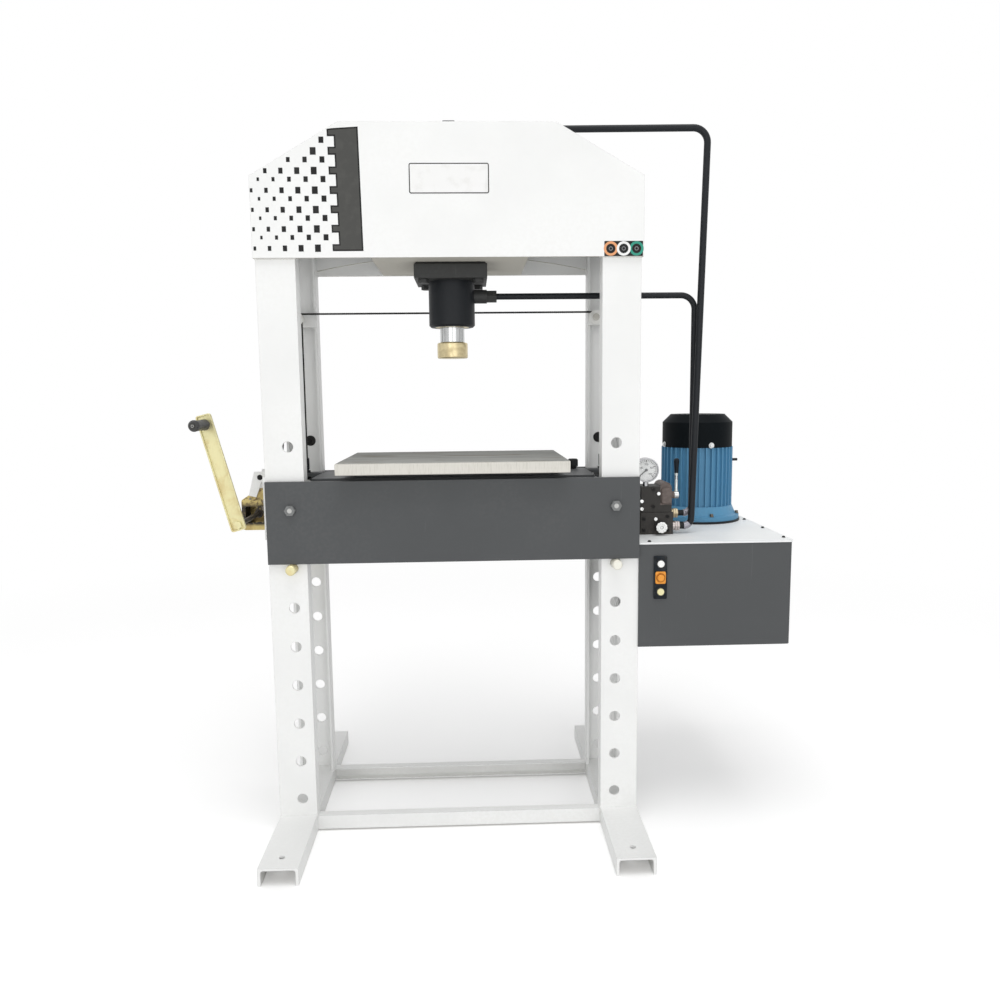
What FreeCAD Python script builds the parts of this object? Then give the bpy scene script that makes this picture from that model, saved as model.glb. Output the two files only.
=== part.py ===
import FreeCAD, Part
import math
import os

V = FreeCAD.Vector
X_AXIS, Y_AXIS, Z_AXIS = V(1, 0, 0), V(0, 1, 0), V(0, 0, 1)

# Workshop hydraulic press with an H-shaped frame of rolled channels.
# Millimetres.  X runs to the right, Y to the back, Z up.  The origin is on the
# floor, under the ram's axis.

# ---- frame: four upright channels on two feet ----
FRAME_WIDTH = 1174.0          # over the outer flanges of the uprights
FRAME_DEPTH = 380.0           # over the webs of the front and rear uprights
CHANNEL_WIDTH = 120.0         # rolled channel: width, flange, web, flange thickness
CHANNEL_FLANGE = 55.0
CHANNEL_WEB = 7.0
CHANNEL_FLANGE_T = 9.0
CHANNEL_ROOT_R = 8.0
UPRIGHT_LENGTH = 2005.0
FOOT_LENGTH = 1000.0
FOOT_HOLE_D = 18.0
FOOT_HOLE_END = 60.0          # bolt hole to the foot's end
PIN_HOLE_D = 34.0
PIN_HOLE_PITCH = 128.0
PIN_HOLE_COUNT = 10
PIN_HOLE_FIRST_HEIGHT = 58.0  # lowest hole above the foot of the upright
PIN_HOLE_INSET = 74.0         # from the upright's outer flange
BEAM_HEIGHT = 46.0            # cross beams between the feet
BEAM_FLANGE = 30.0
BEAM_T = 5.0
BEAM_CLEAR = 6.0              # beam above the floor

# ---- head ----
HEAD_LAP = 226.0              # head's lower edge below the uprights' top ends
HEAD_SIDE_HEIGHT = 238.0
HEAD_SLOPE_HEIGHT = 154.0
HEAD_TOP_WIDTH = 648.0
HEAD_PLATE_T = 10.0
HEAD_COVER_T = 5.0
COVER_HOLE_CLEAR = 5.0        # cover round the cylinder
DOUBLER_T = 12.0              # arched doubler inside each head plate
DOUBLER_SIDE_HEIGHT = 16.0    # start of the arch above the head's lower edge
DOUBLER_RISE = 50.0
DOUBLER_TOP_CLEAR = 20.0
SEAT_PLATE_T = 30.0           # plate inside the head that carries the cylinder
SEAT_PLATE_LENGTH = 480.0
SEAT_PLATE_LIFT = 1.0         # its underside above the head's lower edge

# ---- cylinder and ram ----
BARREL_D = 150.0
BORE_D = 110.0
FLANGE_BLOCK = 230.0
FLANGE_BLOCK_T = 50.0
FLANGE_CHAMFER = 8.0
FLANGE_BOLT_SPACING = 172.0
FLANGE_BOLT_D = 20.0
FLANGE_BOLT_ACROSS = 30.0
FLANGE_BOLT_HEAD = 13.0
BARREL_BELOW = 145.0          # barrel below the flange block
BARREL_ABOVE = 355.0          # barrel above the seat of the flange block
BARREL_CHAMFER = 6.0
GLAND_LENGTH = 60.0
CAP_T = 40.0
ROD_D = 80.0
ROD_BELOW = 50.0              # rod below the barrel, ram retracted
ROD_CHAMFER = 2.0
ROD_FIT = 0.05                # radial running fits
PISTON_FIT = 0.05
PISTON_LENGTH = 70.0
PISTON_TOP_CLEAR = 5.0
NOSE_D = 100.0
NOSE_LENGTH = 50.0
NOSE_CHAMFER = 3.0
NOSE_SPIGOT_D = 40.0
NOSE_SPIGOT_LENGTH = 26.0
PORT_DROP = 46.0              # rod-side port below the flange block
PORT_BOSS_D = 44.0
PORT_BOSS_LENGTH = 40.0
PORT_NUT_ACROSS = 36.0
PORT_NUT_LENGTH = 32.0

# ---- pipes ----
PIPE_LOW_D = 20.0
PIPE_HIGH_D = 22.0
PIPE_BEND_R = 46.0
PIPE_END_BEND_R = 26.0        # last bend, into the valve
PIPE_SWING_R = 400.0          # slight sideways swing of the upper pipe
PIPE_SWING_START = 60.0       # straight run before that swing
PIPE_LOW_OUT = 71.0           # down pipe of the lower pipe, out from the manifold
PIPE_HIGH_TOP_OUT = 99.0      # down pipe of the upper pipe, at its top
PIPE_HIGH_TOP_Y = -22.0
PIPE_HIGH_LEAN = 35.0         # towards the press on the way down
ELBOW_SIZE = 44.0             # elbow block on the cylinder's top cap
ELBOW_RISE = 32.0             # pipe axis above the cap
ELBOW_CHAMFER = 4.0

# ---- rope lift ----
ROPE_D = 6.0
ROPE_GAP = 0.3                # rope to the drum and to the grooves
ROPE_RUN_DROP = 137.0         # level run between the sheaves, below the head
ROPE_DROP_INSET = 79.0        # falls, from the frame's outer flanges
ROPE_SPACING = 15.0           # between the two rope planes, and a groove's width
LIFT_Y = 92.0                 # middle of the two rope planes, behind the cylinder
SHEAVE_PITCH_R = 18.0         # to the rope's centre
SHEAVE_RIM = 6.0              # rim beyond the rope's centre
SHEAVE_LAND = 2.0             # half of the flat on the rim between two grooves
SHEAVE_PIN_D = 14.0
SHEAVE_FIT = 0.08
SHEAVE_END_GAP = 0.3
SHEAVE_PLATE_H = 50.0
SHEAVE_PLATE_T = 6.0
SHEAVE_PIN_PROUD = 5.0
COLLAR_D = 24.0
COLLAR_T = 5.0

# ---- hand winch ----
WINCH_Y = 66.0                # middle of the winch
WINCH_HALF = 52.0             # half width over its frame
WINCH_SIDE_T = 4.0
WINCH_PLATE_T = 8.0           # white plate across the two left uprights
WINCH_LOW = 974.0             # lower edge of the frame and of that plate
WINCH_PLATE_H = 198.0
WINCH_SIDE_H = 142.0          # frame side at the plate
WINCH_OUT_H = 102.0           # frame side at its outer edge
WINCH_REACH = 125.0           # frame's reach out from the plate
WINCH_CORNER_R = 12.0
WINCH_FLOOR_REACH = 100.0
WINDOW_INSET = 16.0           # opening in the frame's front side, from the bracket
WINDOW_WIDTH = 97.0
WINDOW_LOW = 23.0             # its lower edge above the frame's, at its outer end
WINDOW_RISE = 9.0             # that edge's rise towards the plate
WINDOW_TOP = 80.0
WINDOW_R = 6.0
EYE_D = 29.0                  # eye that hangs into it and carries the crank's shaft
EYE_NECK = 16.0
WINCH_AXLE_D = 16.0
WINCH_AXLE_PROUD = 5.0
WINCH_FIT = 0.08
SIDE_PLAY = 1.0
DRUM_OUT = 46.0               # drum's axis out from the white plate
DRUM_RISE = 98.0              # and above the plate's lower edge
DRUM_CORE_D = 50.0
DRUM_RIM_D = 72.0
DRUM_RIM_T = 4.0
GEAR_MODULE = 2.0
GEAR_TEETH = 36
PINION_TEETH = 12
GEAR_WIDTH = 8.0
GEAR_DEDENDUM = 1.15          # in modules, as is the next
GEAR_ADDENDUM = 0.75
GEAR_MESH_ANGLE = 241.3       # from the drum to the crank, degrees above +X
CHEEK_T = 6.0                 # white arms of the bracket
CHEEK_TAB = 34.0              # height of the arm's upper part
CHEEK_REACH_TOP = 77.0
CHEEK_REACH_LOW = 97.0
CHEEK_WIDTH = 24.0
CHEEK_DROP = 86.0             # from the arm's top to its lower end
CHEEK_HOLE_D = 14.0
CHEEK_HOLE_INSET = 19.0
CRANK_CLEAR = 30.0            # back of the crank's arm to the bed's front
CRANK_LENGTH = 319.0          # shaft to knob
CRANK_WIDTH = 46.0
CRANK_T = 4.0
CRANK_LIP = 10.0
CRANK_LEAN = 104.5            # arm's angle above +X, degrees
CRANK_TIP = 31.0              # arm past the knob's axis
CRANK_HEEL = 17.0             # and past the shaft's axis at its other end
CRANK_CORNER_R = 8.0
CRANK_NUT_ACROSS = 24.0
KNOB_D = 34.0
KNOB_LENGTH = 115.0
KNOB_END_R = 5.0
KNOB_WAIST = 2.0
KNOB_STUD_D = 12.0
KNOB_STUD_PAST = 4.0
KNOB_FIT = 0.08
KNOB_GAP = 0.3
PAWL_T = 6.0
PAWL_ANGLE = 170.0            # pawl's pin about the drum, degrees above +X
PAWL_CLEAR = 12.0             # pin's axis outside the gear's teeth
PAWL_SPAN = 30.0              # angle from the pin to the toe about the drum
PAWL_TOE_GAP = 1.5            # toe above the teeth, let off
PAWL_HUB_D = 14.0
PAWL_PIN_D = 8.0
PAWL_DEPTH = 7.0
PAWL_PIN_PROUD = 2.0

# ---- pressing bed ----
PIN_LEVEL = 6                 # hole that the support pins are in, from 0
PIN_D = 32.0
PIN_PROUD = 38.0              # pin past the upright's web, each end
PIN_CHAMFER = 3.0
PIN_REST_GAP = 0.3
BED_HEIGHT = 260.0
BED_END_INSET = 1.0           # bed's ends inside the frame's outer flanges
BED_PLATE_T = 15.0
BED_SIDE_GAP = 1.0            # bed plate to the upright's web
BED_RIB_T = 12.0
BED_RIB_INSET = 3.0           # outer ribs to the upright's inner flange
BED_RIB_PITCH = 300.0         # inner ribs apart
BED_RIB_CLEAR = 20.0          # ribs above the bed's lower edge
BASE_PLATE_T = 12.0
BASE_PLATE_PROUD = 2.7        # above the bed plates' upper edge
BASE_PLATE_INSET = 12.0       # to the upright's inner flange
BASE_PLATE_DEPTH = 272.0
BASE_CORNER_R = 15.0
LUG_WIDTH = 56.0
LUG_PAST = 18.0               # lug past the rope
LUG_CORNER_R = 12.0
RISER_T = 19.5
RISER_LENGTH = 640.0
RISER_WIDTH = 60.0
RISER_SPACING = 180.0
TABLE_LENGTH = 720.0
TABLE_DEPTH = 520.0
TABLE_T = 36.0
TABLE_CHAMFER = 2.0
BED_BOLT_INSET = 76.0         # from the bed's end
BED_BOLT_DROP = 89.0
BED_BOLT_D = 18.0
BED_BOLT_ACROSS = 30.0
BED_BOLT_HEAD = 12.5
STOP_D = 36.0                 # round stop at the table's right rear corner
STOP_HEIGHT = 34.0
STOP_NECK_INSET = 6.0
STOP_NECK_HEIGHT = 5.0
STOP_TAPER = 3.0
STOP_EDGE = 4.0
STOP_OUT = 52.0               # its axis past the table's end
STOP_INSET = 28.0             # and in from the base plate's rear edge
TERMINAL_D = 14.0
TERMINAL_RISE = 50.0
TERMINAL_STUD_D = 10.0
TERMINAL_STUD_PAST = 4.0
TERMINAL_NUT_ACROSS = 17.0
TERMINAL_NUT_H = 8.0

# ---- power pack ----
TANK_WIDTH = 498.0
TANK_PROUD = 5.0              # tank's front ahead of the front uprights
TANK_DEPTH = 680.0
TANK_BOTTOM = 603.0
TANK_HEIGHT = 337.0
TANK_WALL = 4.0
TANK_CORNER_R = 12.0
LID_T = 6.0
LID_OVERHANG = 3.0
MOTOR_INSET = 317.0           # motor's axis from the tank's left wall
MOTOR_SET_BACK = 500.0        # and behind the tank's front
MOTOR_RING_D = 320.0
MOTOR_RING_T = 8.0
MOTOR_FLANGE_D = 314.0
MOTOR_FLANGE_T = 16.0
MOTOR_FLANGE_LAND = 14.0      # flat on the flange's edge
MOTOR_FLANGE_RISE = 5.0
MOTOR_SHIELD_H = 34.0
MOTOR_BODY_D = 240.0
MOTOR_BODY_H = 222.0
MOTOR_FIN_H = 10.0
MOTOR_FIN_T = 4.0
MOTOR_FIN_ROOT = 2.0
MOTOR_FINS = 36
COWL_D = 255.0
COWL_H = 120.0
COWL_WALL = 2.5
COWL_SHOULDER = 29.0
COWL_HOLE_D = 11.0
COWL_HOLE_PITCH = 24.0
COWL_HOLE_RINGS = 3
COWL_LAP = 6.0                # cowl over the body's end, down to the fins
COWL_FIT = 0.3
SHAFT_D = 38.0
SHAFT_FIT = 0.08
SHAFT_END_GAP = 0.3
FAN_D = 200.0
FAN_H = 40.0
FAN_LIFT = 10.0               # fan above the motor's body
FAN_BLADES = 7
FAN_T = 5.0
LIFT_STUD_D = 10.0            # short stud on the motor's right side
LIFT_STUD_LENGTH = 24.0
LIFT_STUD_DROP = 58.0

# ---- valve, gauge and controls ----
VALVE_GAP = 33.0              # manifold to the tank's left wall
VALVE_WIDTH = 113.0
VALVE_AHEAD = 45.0            # manifold's front ahead of the ram's axis
VALVE_DEPTH = 100.0
VALVE_CHAMFER = 3.0
MANIFOLD_H = 74.0
VALVE_BODY_INSET = 5.0
VALVE_BODY_H = 88.0
VALVE_BODY_R = 6.0
VALVE_LUMP_D = 42.0
VALVE_LUMP_RISE = 14.0
HOUSING_WIDTH = 38.0          # rounded spool housing on the body's front
HOUSING_H = 57.0
HOUSING_LOW = 27.0            # above the manifold
HOUSING_PROUD = 9.0
HOUSING_R = 12.0
FITTING_D = 28.0
FITTING_NUT_ACROSS = 30.0
FITTING_BASE = 9.0
FITTING_NUT = 14.0
FITTING_LOW_Z = 26.0          # fittings above the lid
FITTING_LOW_SET_BACK = 17.0   # lower fitting behind the manifold's front
FITTING_HIGH_Z = 66.0
LEVER_UP = 130.0              # lever's pivot above the lid
LEVER_BACK = 30.0             # pivot behind the valve's front
LEVER_OUT = 8.0               # and out from the manifold's right side
LEVER_ROD_D = 10.0
LEVER_ROD = 62.0
LEVER_GRIP_D = 19.0
LEVER_GRIP = 50.0
LEVER_GRIP_EDGE = 3.0
LEVER_HUB_D = 24.0
LEVER_HUB_T = 14.0
LEVER_PIN_D = 10.0
LEVER_PIN_PAST = 1.0
LEVER_FIT = 0.08
LEVER_GAP = 0.3
RELIEF_X = 67.0               # knob's axis from the manifold's left side
RELIEF_Z = 28.0
RELIEF_D = 40.0
RELIEF_LENGTH = 26.0
RELIEF_EDGE = 4.0
RELIEF_STEM_D = 16.0
RELIEF_STEM = 8.0
RELIEF_GAP = 0.3
GAUGE_D = 82.0
GAUGE_DEPTH = 34.0
GAUGE_RIM = 4.0
GAUGE_WELL = 9.0
GAUGE_BACK_R = 3.0
GAUGE_INSET = 22.0            # stem from the manifold's left side
GAUGE_SET_BACK = 21.0         # stem behind the valve's front
GAUGE_STEM_ACROSS = 16.0
GAUGE_STEM = 14.0
NEEDLE_LENGTH = 30.0
NEEDLE_HALF = 2.0
NEEDLE_TIP_HALF = 0.6
NEEDLE_T = 1.0
NEEDLE_HUB_D = 9.0
NEEDLE_HUB_T = 3.0
NEEDLE_GAP = 1.0
NEEDLE_PIN_D = 3.0
NEEDLE_FIT = 0.08
NEEDLE_REST = 40.0            # needle below the level, towards the left
STATION_INSET = 69.0          # station's middle from the tank's left wall
STATION_WIDTH = 42.0
STATION_HEIGHT = 140.0
STATION_TOP = 902.0
STATION_T = 6.0
STATION_CORNER_R = 4.0
BUTTON_D = 22.0
BUTTON_PITCH = 45.5
BUTTON_PROUD = 9.0
BUTTON_SEAT = 2.0             # button's back inside the station's plate
BUTTON_EDGE = 2.0
BUTTON_FIT = 0.3
BEZEL_D = 29.0
BEZEL_T = 3.0

# ---- derived places ----
HALF_W = FRAME_WIDTH / 2
HALF_D = FRAME_DEPTH / 2
INNER_X = HALF_W - CHANNEL_WIDTH
UPRIGHT_X = HALF_W - CHANNEL_WIDTH / 2
FOOT_TOP = CHANNEL_FLANGE
FLANGE_TIP_Y = HALF_D - CHANNEL_FLANGE
PIN_X = HALF_W - PIN_HOLE_INSET
HEAD_BOTTOM = FOOT_TOP + UPRIGHT_LENGTH - HEAD_LAP
HEAD_HALF = HALF_W + HEAD_COVER_T
HEAD_SHOULDER = HEAD_BOTTOM + HEAD_SIDE_HEIGHT
HEAD_TOP = HEAD_SHOULDER + HEAD_SLOPE_HEIGHT
SEAT_Z = HEAD_BOTTOM + SEAT_PLATE_LIFT
BLOCK_BOTTOM = SEAT_Z - FLANGE_BLOCK_T
BARREL_BOTTOM = BLOCK_BOTTOM - BARREL_BELOW
BARREL_TOP = SEAT_Z + BARREL_ABOVE
CAP_TOP = BARREL_TOP + CAP_T
ROD_BOTTOM = BARREL_BOTTOM - ROD_BELOW
PORT_Z = BLOCK_BOTTOM - PORT_DROP
PORT_END_X = BARREL_D / 2 + PORT_BOSS_LENGTH + PORT_NUT_LENGTH
ELBOW_Z = CAP_TOP + ELBOW_RISE
ROPE_RUN_Z = HEAD_BOTTOM - ROPE_RUN_DROP
ROPE_DROP_X = HALF_W - ROPE_DROP_INSET
SHEAVE_Z = ROPE_RUN_Z - SHEAVE_PITCH_R
SHEAVE_LEFT_X = -ROPE_DROP_X - SHEAVE_PITCH_R
SHEAVE_RIGHT_X = ROPE_DROP_X - SHEAVE_PITCH_R
ROPE_LEFT_Y = LIFT_Y - ROPE_SPACING / 2
ROPE_RIGHT_Y = LIFT_Y + ROPE_SPACING / 2
PIN_Z = FOOT_TOP + PIN_HOLE_FIRST_HEIGHT + PIN_LEVEL * PIN_HOLE_PITCH
BED_BOTTOM = PIN_Z + PIN_D / 2 + PIN_REST_GAP
BED_TOP = BED_BOTTOM + BED_HEIGHT
BED_HALF = HALF_W - BED_END_INSET
BED_FACE_Y = HALF_D + BED_SIDE_GAP
BED_BOLT_X = BED_HALF - BED_BOLT_INSET
STOP_X = TABLE_LENGTH / 2 + STOP_OUT
STOP_Y = BASE_PLATE_DEPTH / 2 - STOP_INSET
BASE_TOP = BED_TOP + BASE_PLATE_PROUD
TABLE_BOTTOM = BASE_TOP + RISER_T
FALL_END = BASE_TOP + TERMINAL_RISE
TANK_LEFT = HALF_W
TANK_FRONT = -HALF_D - TANK_PROUD
TANK_TOP = TANK_BOTTOM + TANK_HEIGHT
LID_TOP = TANK_TOP + LID_T
MOTOR_X = TANK_LEFT + MOTOR_INSET
MOTOR_Y = TANK_FRONT + MOTOR_SET_BACK
MOTOR_BASE = LID_TOP + MOTOR_RING_T
MOTOR_BODY_Z = MOTOR_BASE + MOTOR_FLANGE_T + MOTOR_SHIELD_H
MOTOR_BODY_TOP = MOTOR_BODY_Z + MOTOR_BODY_H
VALVE_LEFT = TANK_LEFT + VALVE_GAP
VALVE_RIGHT = VALVE_LEFT + VALVE_WIDTH
VALVE_FRONT = -VALVE_AHEAD
VALVE_STEP = LID_TOP + MANIFOLD_H
VALVE_TOP = VALVE_STEP + VALVE_BODY_H
VALVE_FACE_X = VALVE_RIGHT - VALVE_BODY_INSET
FITTING_END_X = VALVE_RIGHT + FITTING_BASE + FITTING_NUT
FITTING_LOW_Y = VALVE_FRONT + FITTING_LOW_SET_BACK
PIPE_LOW_X = VALVE_RIGHT + PIPE_LOW_OUT
PIPE_HIGH_TOP_X = VALVE_RIGHT + PIPE_HIGH_TOP_OUT
GAUGE_X = VALVE_LEFT + GAUGE_INSET
STATION_X = TANK_LEFT + STATION_INSET
WINCH_FACE_X = -HALF_W - WINCH_PLATE_T
DRUM_X = WINCH_FACE_X - DRUM_OUT
DRUM_Z = WINCH_LOW + DRUM_RISE
CRANK_Y = -BED_FACE_Y - BED_PLATE_T - CRANK_CLEAR
WINCH_FRONT = WINCH_Y - WINCH_HALF
WINCH_BACK = WINCH_Y + WINCH_HALF
GEAR_REACH = (GEAR_TEETH + PINION_TEETH) * GEAR_MODULE / 2
CRANK_X = DRUM_X + GEAR_REACH * math.cos(math.radians(GEAR_MESH_ANGLE))
CRANK_Z = DRUM_Z + GEAR_REACH * math.sin(math.radians(GEAR_MESH_ANGLE))
GEAR_TIP_R = GEAR_MODULE * (GEAR_TEETH / 2 + GEAR_ADDENDUM)
GEAR_FRONT = WINCH_FRONT + WINCH_SIDE_T + SIDE_PLAY
DRUM_BACK = WINCH_BACK - WINCH_SIDE_T - SIDE_PLAY
DRUM_PITCH_R = (DRUM_CORE_D + ROPE_D) / 2 + ROPE_GAP
KNOB_BACK = CRANK_Y - CRANK_LIP - KNOB_GAP


# ---- shapes ----
def box(x0, x1, y0, y1, z0, z1):
    return Part.makeBox(x1 - x0, y1 - y0, z1 - z0, V(x0, y0, z0))


def rod(diameter, start, end):
    """Round bar between two points."""
    run = end - start
    return Part.makeCylinder(diameter / 2, run.Length, start, run)


def hexagon(across, start, end):
    """Hexagonal bar between two points."""
    run = end - start
    corner = across / math.sqrt(3)
    side = run.cross(Z_AXIS) if abs(run.normalize().z) < 0.9 else V(X_AXIS)
    side.normalize()
    points = []
    for k in range(7):
        turn = FreeCAD.Rotation(run, 60 * k)
        points.append(start + turn.multVec(side) * corner)
    face = Part.Face(Part.makePolygon(points))
    return face.extrude(run * (end - start).Length)


def prism(points, push):
    """Flat outline, closed by itself, pushed along a vector."""
    closed = list(points) + [points[0]]
    return Part.Face(Part.makePolygon(closed)).extrude(push)


def plate_xz(outline, y0, y1):
    return prism([V(x, y0, z) for x, z in outline], V(0, y1 - y0, 0))


def revolve(profile, centre, axis=None):
    """Profile of (radius, height) pairs turned about Z, then laid along axis."""
    points = [V(r, 0, h) for r, h in profile]
    face = Part.Face(Part.makePolygon(points + [points[0]]))
    shape = face.revolve(V(0, 0, 0), Z_AXIS, 360)
    if axis is not None:
        shape.Placement = FreeCAD.Placement(V(0, 0, 0), FreeCAD.Rotation(Z_AXIS, axis))
    moved = shape.copy()
    moved.translate(centre)
    return moved


def fuse(*shapes):
    return shapes[0].multiFuse(list(shapes[1:])).removeSplitter()


def turned(shape, axis, degrees, centre=None):
    copy = shape.copy()
    copy.rotate(centre or V(0, 0, 0), axis, degrees)
    return copy


def shifted(shape, x=0.0, y=0.0, z=0.0):
    copy = shape.copy()
    copy.translate(V(x, y, z))
    return copy


def mirrored_x(shape):
    return shape.mirror(V(0, 0, 0), X_AXIS)


def mirrored_y(shape):
    return shape.mirror(V(0, 0, 0), Y_AXIS)


def edges_along(shape, axis, test=None):
    """Straight edges that run along an axis, and pass a test of their middle."""
    found = []
    for edge in shape.Edges:
        if len(edge.Vertexes) != 2 or not isinstance(edge.Curve, Part.Line):
            continue
        run = edge.Vertexes[1].Point - edge.Vertexes[0].Point
        if run.Length < 1e-6 or abs(run.normalize().dot(axis)) < 0.999:
            continue
        middle = (edge.Vertexes[0].Point + edge.Vertexes[1].Point) * 0.5
        if test is None or test(middle):
            found.append(edge)
    return found


def bent_bar(points, radii, diameter):
    """Round bar along a path of straight runs joined by tangent arcs."""
    pieces = []
    last = points[0]
    for k in range(1, len(points) - 1):
        before = (points[k] - points[k - 1]).normalize()
        after = (points[k + 1] - points[k]).normalize()
        turn = before.getAngle(after)
        radius = radii[k - 1]
        start = points[k] - before * (radius * math.tan(turn / 2))
        axis = before.cross(after).normalize()
        centre = start + axis.cross(before) * radius
        if (start - last).Length > 1e-6:
            pieces.append(rod(diameter, last, start))
        section = Part.Face(Part.Wire(Part.Circle(start, before, diameter / 2).toShape()))
        pieces.append(section.revolve(centre, axis, math.degrees(turn)))
        last = points[k] + after * (radius * math.tan(turn / 2))
    if (points[-1] - last).Length > 1e-6:
        pieces.append(rod(diameter, last, points[-1]))
    return fuse(*pieces)


def save(node, *shapes):
    """One file per node; pieces that share a node stay separate solids."""
    solids = [solid for shape in shapes for solid in shape.Solids]
    shape = solids[0] if len(solids) == 1 else Part.makeCompound(solids)
    shape.exportStep("parts/" + node + ".step")


# ---- rolled channels ----
def channel(width, flange, web, flange_t, root_r, length):
    """Channel along +Z from the origin: back of the web at y = 0, flanges to +Y."""
    half = width / 2
    outside = box(-half, half, 0, flange, 0, length)
    hollow = box(-half + flange_t, half - flange_t, web, flange + 1, -1, length + 1)
    roots = edges_along(hollow, Z_AXIS, lambda p: p.y < web + 0.1)
    return outside.cut(hollow.makeFillet(root_r, roots))


def frame_channel(length):
    return channel(CHANNEL_WIDTH, CHANNEL_FLANGE, CHANNEL_WEB, CHANNEL_FLANGE_T,
                   CHANNEL_ROOT_R, length)


def upright_front_right():
    post = shifted(frame_channel(UPRIGHT_LENGTH), UPRIGHT_X, -HALF_D, FOOT_TOP)
    for k in range(PIN_HOLE_COUNT):
        z = FOOT_TOP + PIN_HOLE_FIRST_HEIGHT + k * PIN_HOLE_PITCH
        hole = rod(PIN_HOLE_D, V(PIN_X, -HALF_D - 1, z), V(PIN_X, -HALF_D + CHANNEL_WEB + 1, z))
        post = post.cut(hole)
    return post


def foot_right():
    foot = turned(frame_channel(FOOT_LENGTH), X_AXIS, -90)
    foot = shifted(foot, UPRIGHT_X, -FOOT_LENGTH / 2, FOOT_TOP)
    for end in (-1, 1):
        y = end * (FOOT_LENGTH / 2 - FOOT_HOLE_END)
        foot = foot.cut(rod(FOOT_HOLE_D, V(UPRIGHT_X, y, 0), V(UPRIGHT_X, y, FOOT_TOP + 1)))
    return foot


def cross_beam_front():
    """Channel between the feet, web outward, hollow side to the back."""
    beam = channel(BEAM_HEIGHT, BEAM_FLANGE, BEAM_T, BEAM_T, BEAM_T, 2 * INNER_X)
    beam = turned(beam, Y_AXIS, 90)
    return shifted(beam, -INNER_X, -HALF_D, BEAM_CLEAR + BEAM_HEIGHT / 2)


def make_frame():
    post = upright_front_right()
    save("upright_front_right", post)
    save("upright_front_left", mirrored_x(post))
    save("upright_rear_right", mirrored_y(post))
    save("upright_rear_left", mirrored_x(mirrored_y(post)))
    foot = foot_right()
    save("feet", foot, mirrored_x(foot))
    beam = cross_beam_front()
    save("cross_beams", beam, mirrored_y(beam))


# ---- head ----
def head_outline(inset):
    """Head's outline, drawn in by a sheet's thickness, without its lower edge."""
    half = HEAD_HALF
    top_half = HEAD_TOP_WIDTH / 2
    slope = math.atan2(HEAD_SLOPE_HEIGHT, half - top_half)
    drop = inset * math.tan(slope / 2)
    return [
        (half - inset, HEAD_BOTTOM),
        (half - inset, HEAD_SHOULDER - inset * math.tan((math.pi / 2 - slope) / 2)),
        (top_half - drop, HEAD_TOP - inset),
        (-top_half + drop, HEAD_TOP - inset),
        (-half + inset, HEAD_SHOULDER - inset * math.tan((math.pi / 2 - slope) / 2)),
        (-half + inset, HEAD_BOTTOM),
    ]


def head_doubler():
    """Plate inside the front head plate whose lower edge is one long arch."""
    half = INNER_X
    foot_z = HEAD_BOTTOM + DOUBLER_SIDE_HEIGHT
    top_z = HEAD_SHOULDER - DOUBLER_TOP_CLEAR
    y = -HALF_D
    left, right = V(-half, y, foot_z), V(half, y, foot_z)
    arch = Part.Arc(left, V(0, y, foot_z + DOUBLER_RISE), right).toShape()
    rest = Part.makePolygon([right, V(half, y, top_z), V(-half, y, top_z), left])
    outline = Part.Wire([arch] + rest.Edges)
    return Part.Face(outline).extrude(V(0, DOUBLER_T, 0))


def make_head():
    front = plate_xz(head_outline(0.0), -HALF_D - HEAD_PLATE_T, -HALF_D)
    save("head_plates", front, mirrored_y(front))
    outer, inner = head_outline(0.0), head_outline(HEAD_COVER_T)
    cover = plate_xz(outer + inner[::-1], -HALF_D, HALF_D)
    opening = rod(BARREL_D + 2 * COVER_HOLE_CLEAR, V(0, 0, HEAD_TOP - HEAD_COVER_T - 1),
                  V(0, 0, HEAD_TOP + 1))
    save("head_cover", cover.cut(opening))
    doubler = head_doubler()
    save("head_doublers", doubler, mirrored_y(doubler))
    low = box(-SEAT_PLATE_LENGTH / 2, SEAT_PLATE_LENGTH / 2, -HALF_D, HALF_D,
              SEAT_Z, SEAT_Z + SEAT_PLATE_T)
    low = low.cut(rod(BARREL_D, V(0, 0, SEAT_Z - 1), V(0, 0, SEAT_Z + SEAT_PLATE_T + 1)))
    low = low.cut(doubler).cut(mirrored_y(doubler))
    save("cylinder_seat_plate", low)


# ---- cylinder and ram ----
def hex_bolt(diameter, across, head, start, direction, shank):
    """Hexagon head seated at start, shank pushed back along the direction."""
    tip = start - direction * shank
    return fuse(hexagon(across, start, start + direction * head), rod(diameter, tip, start))


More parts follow.
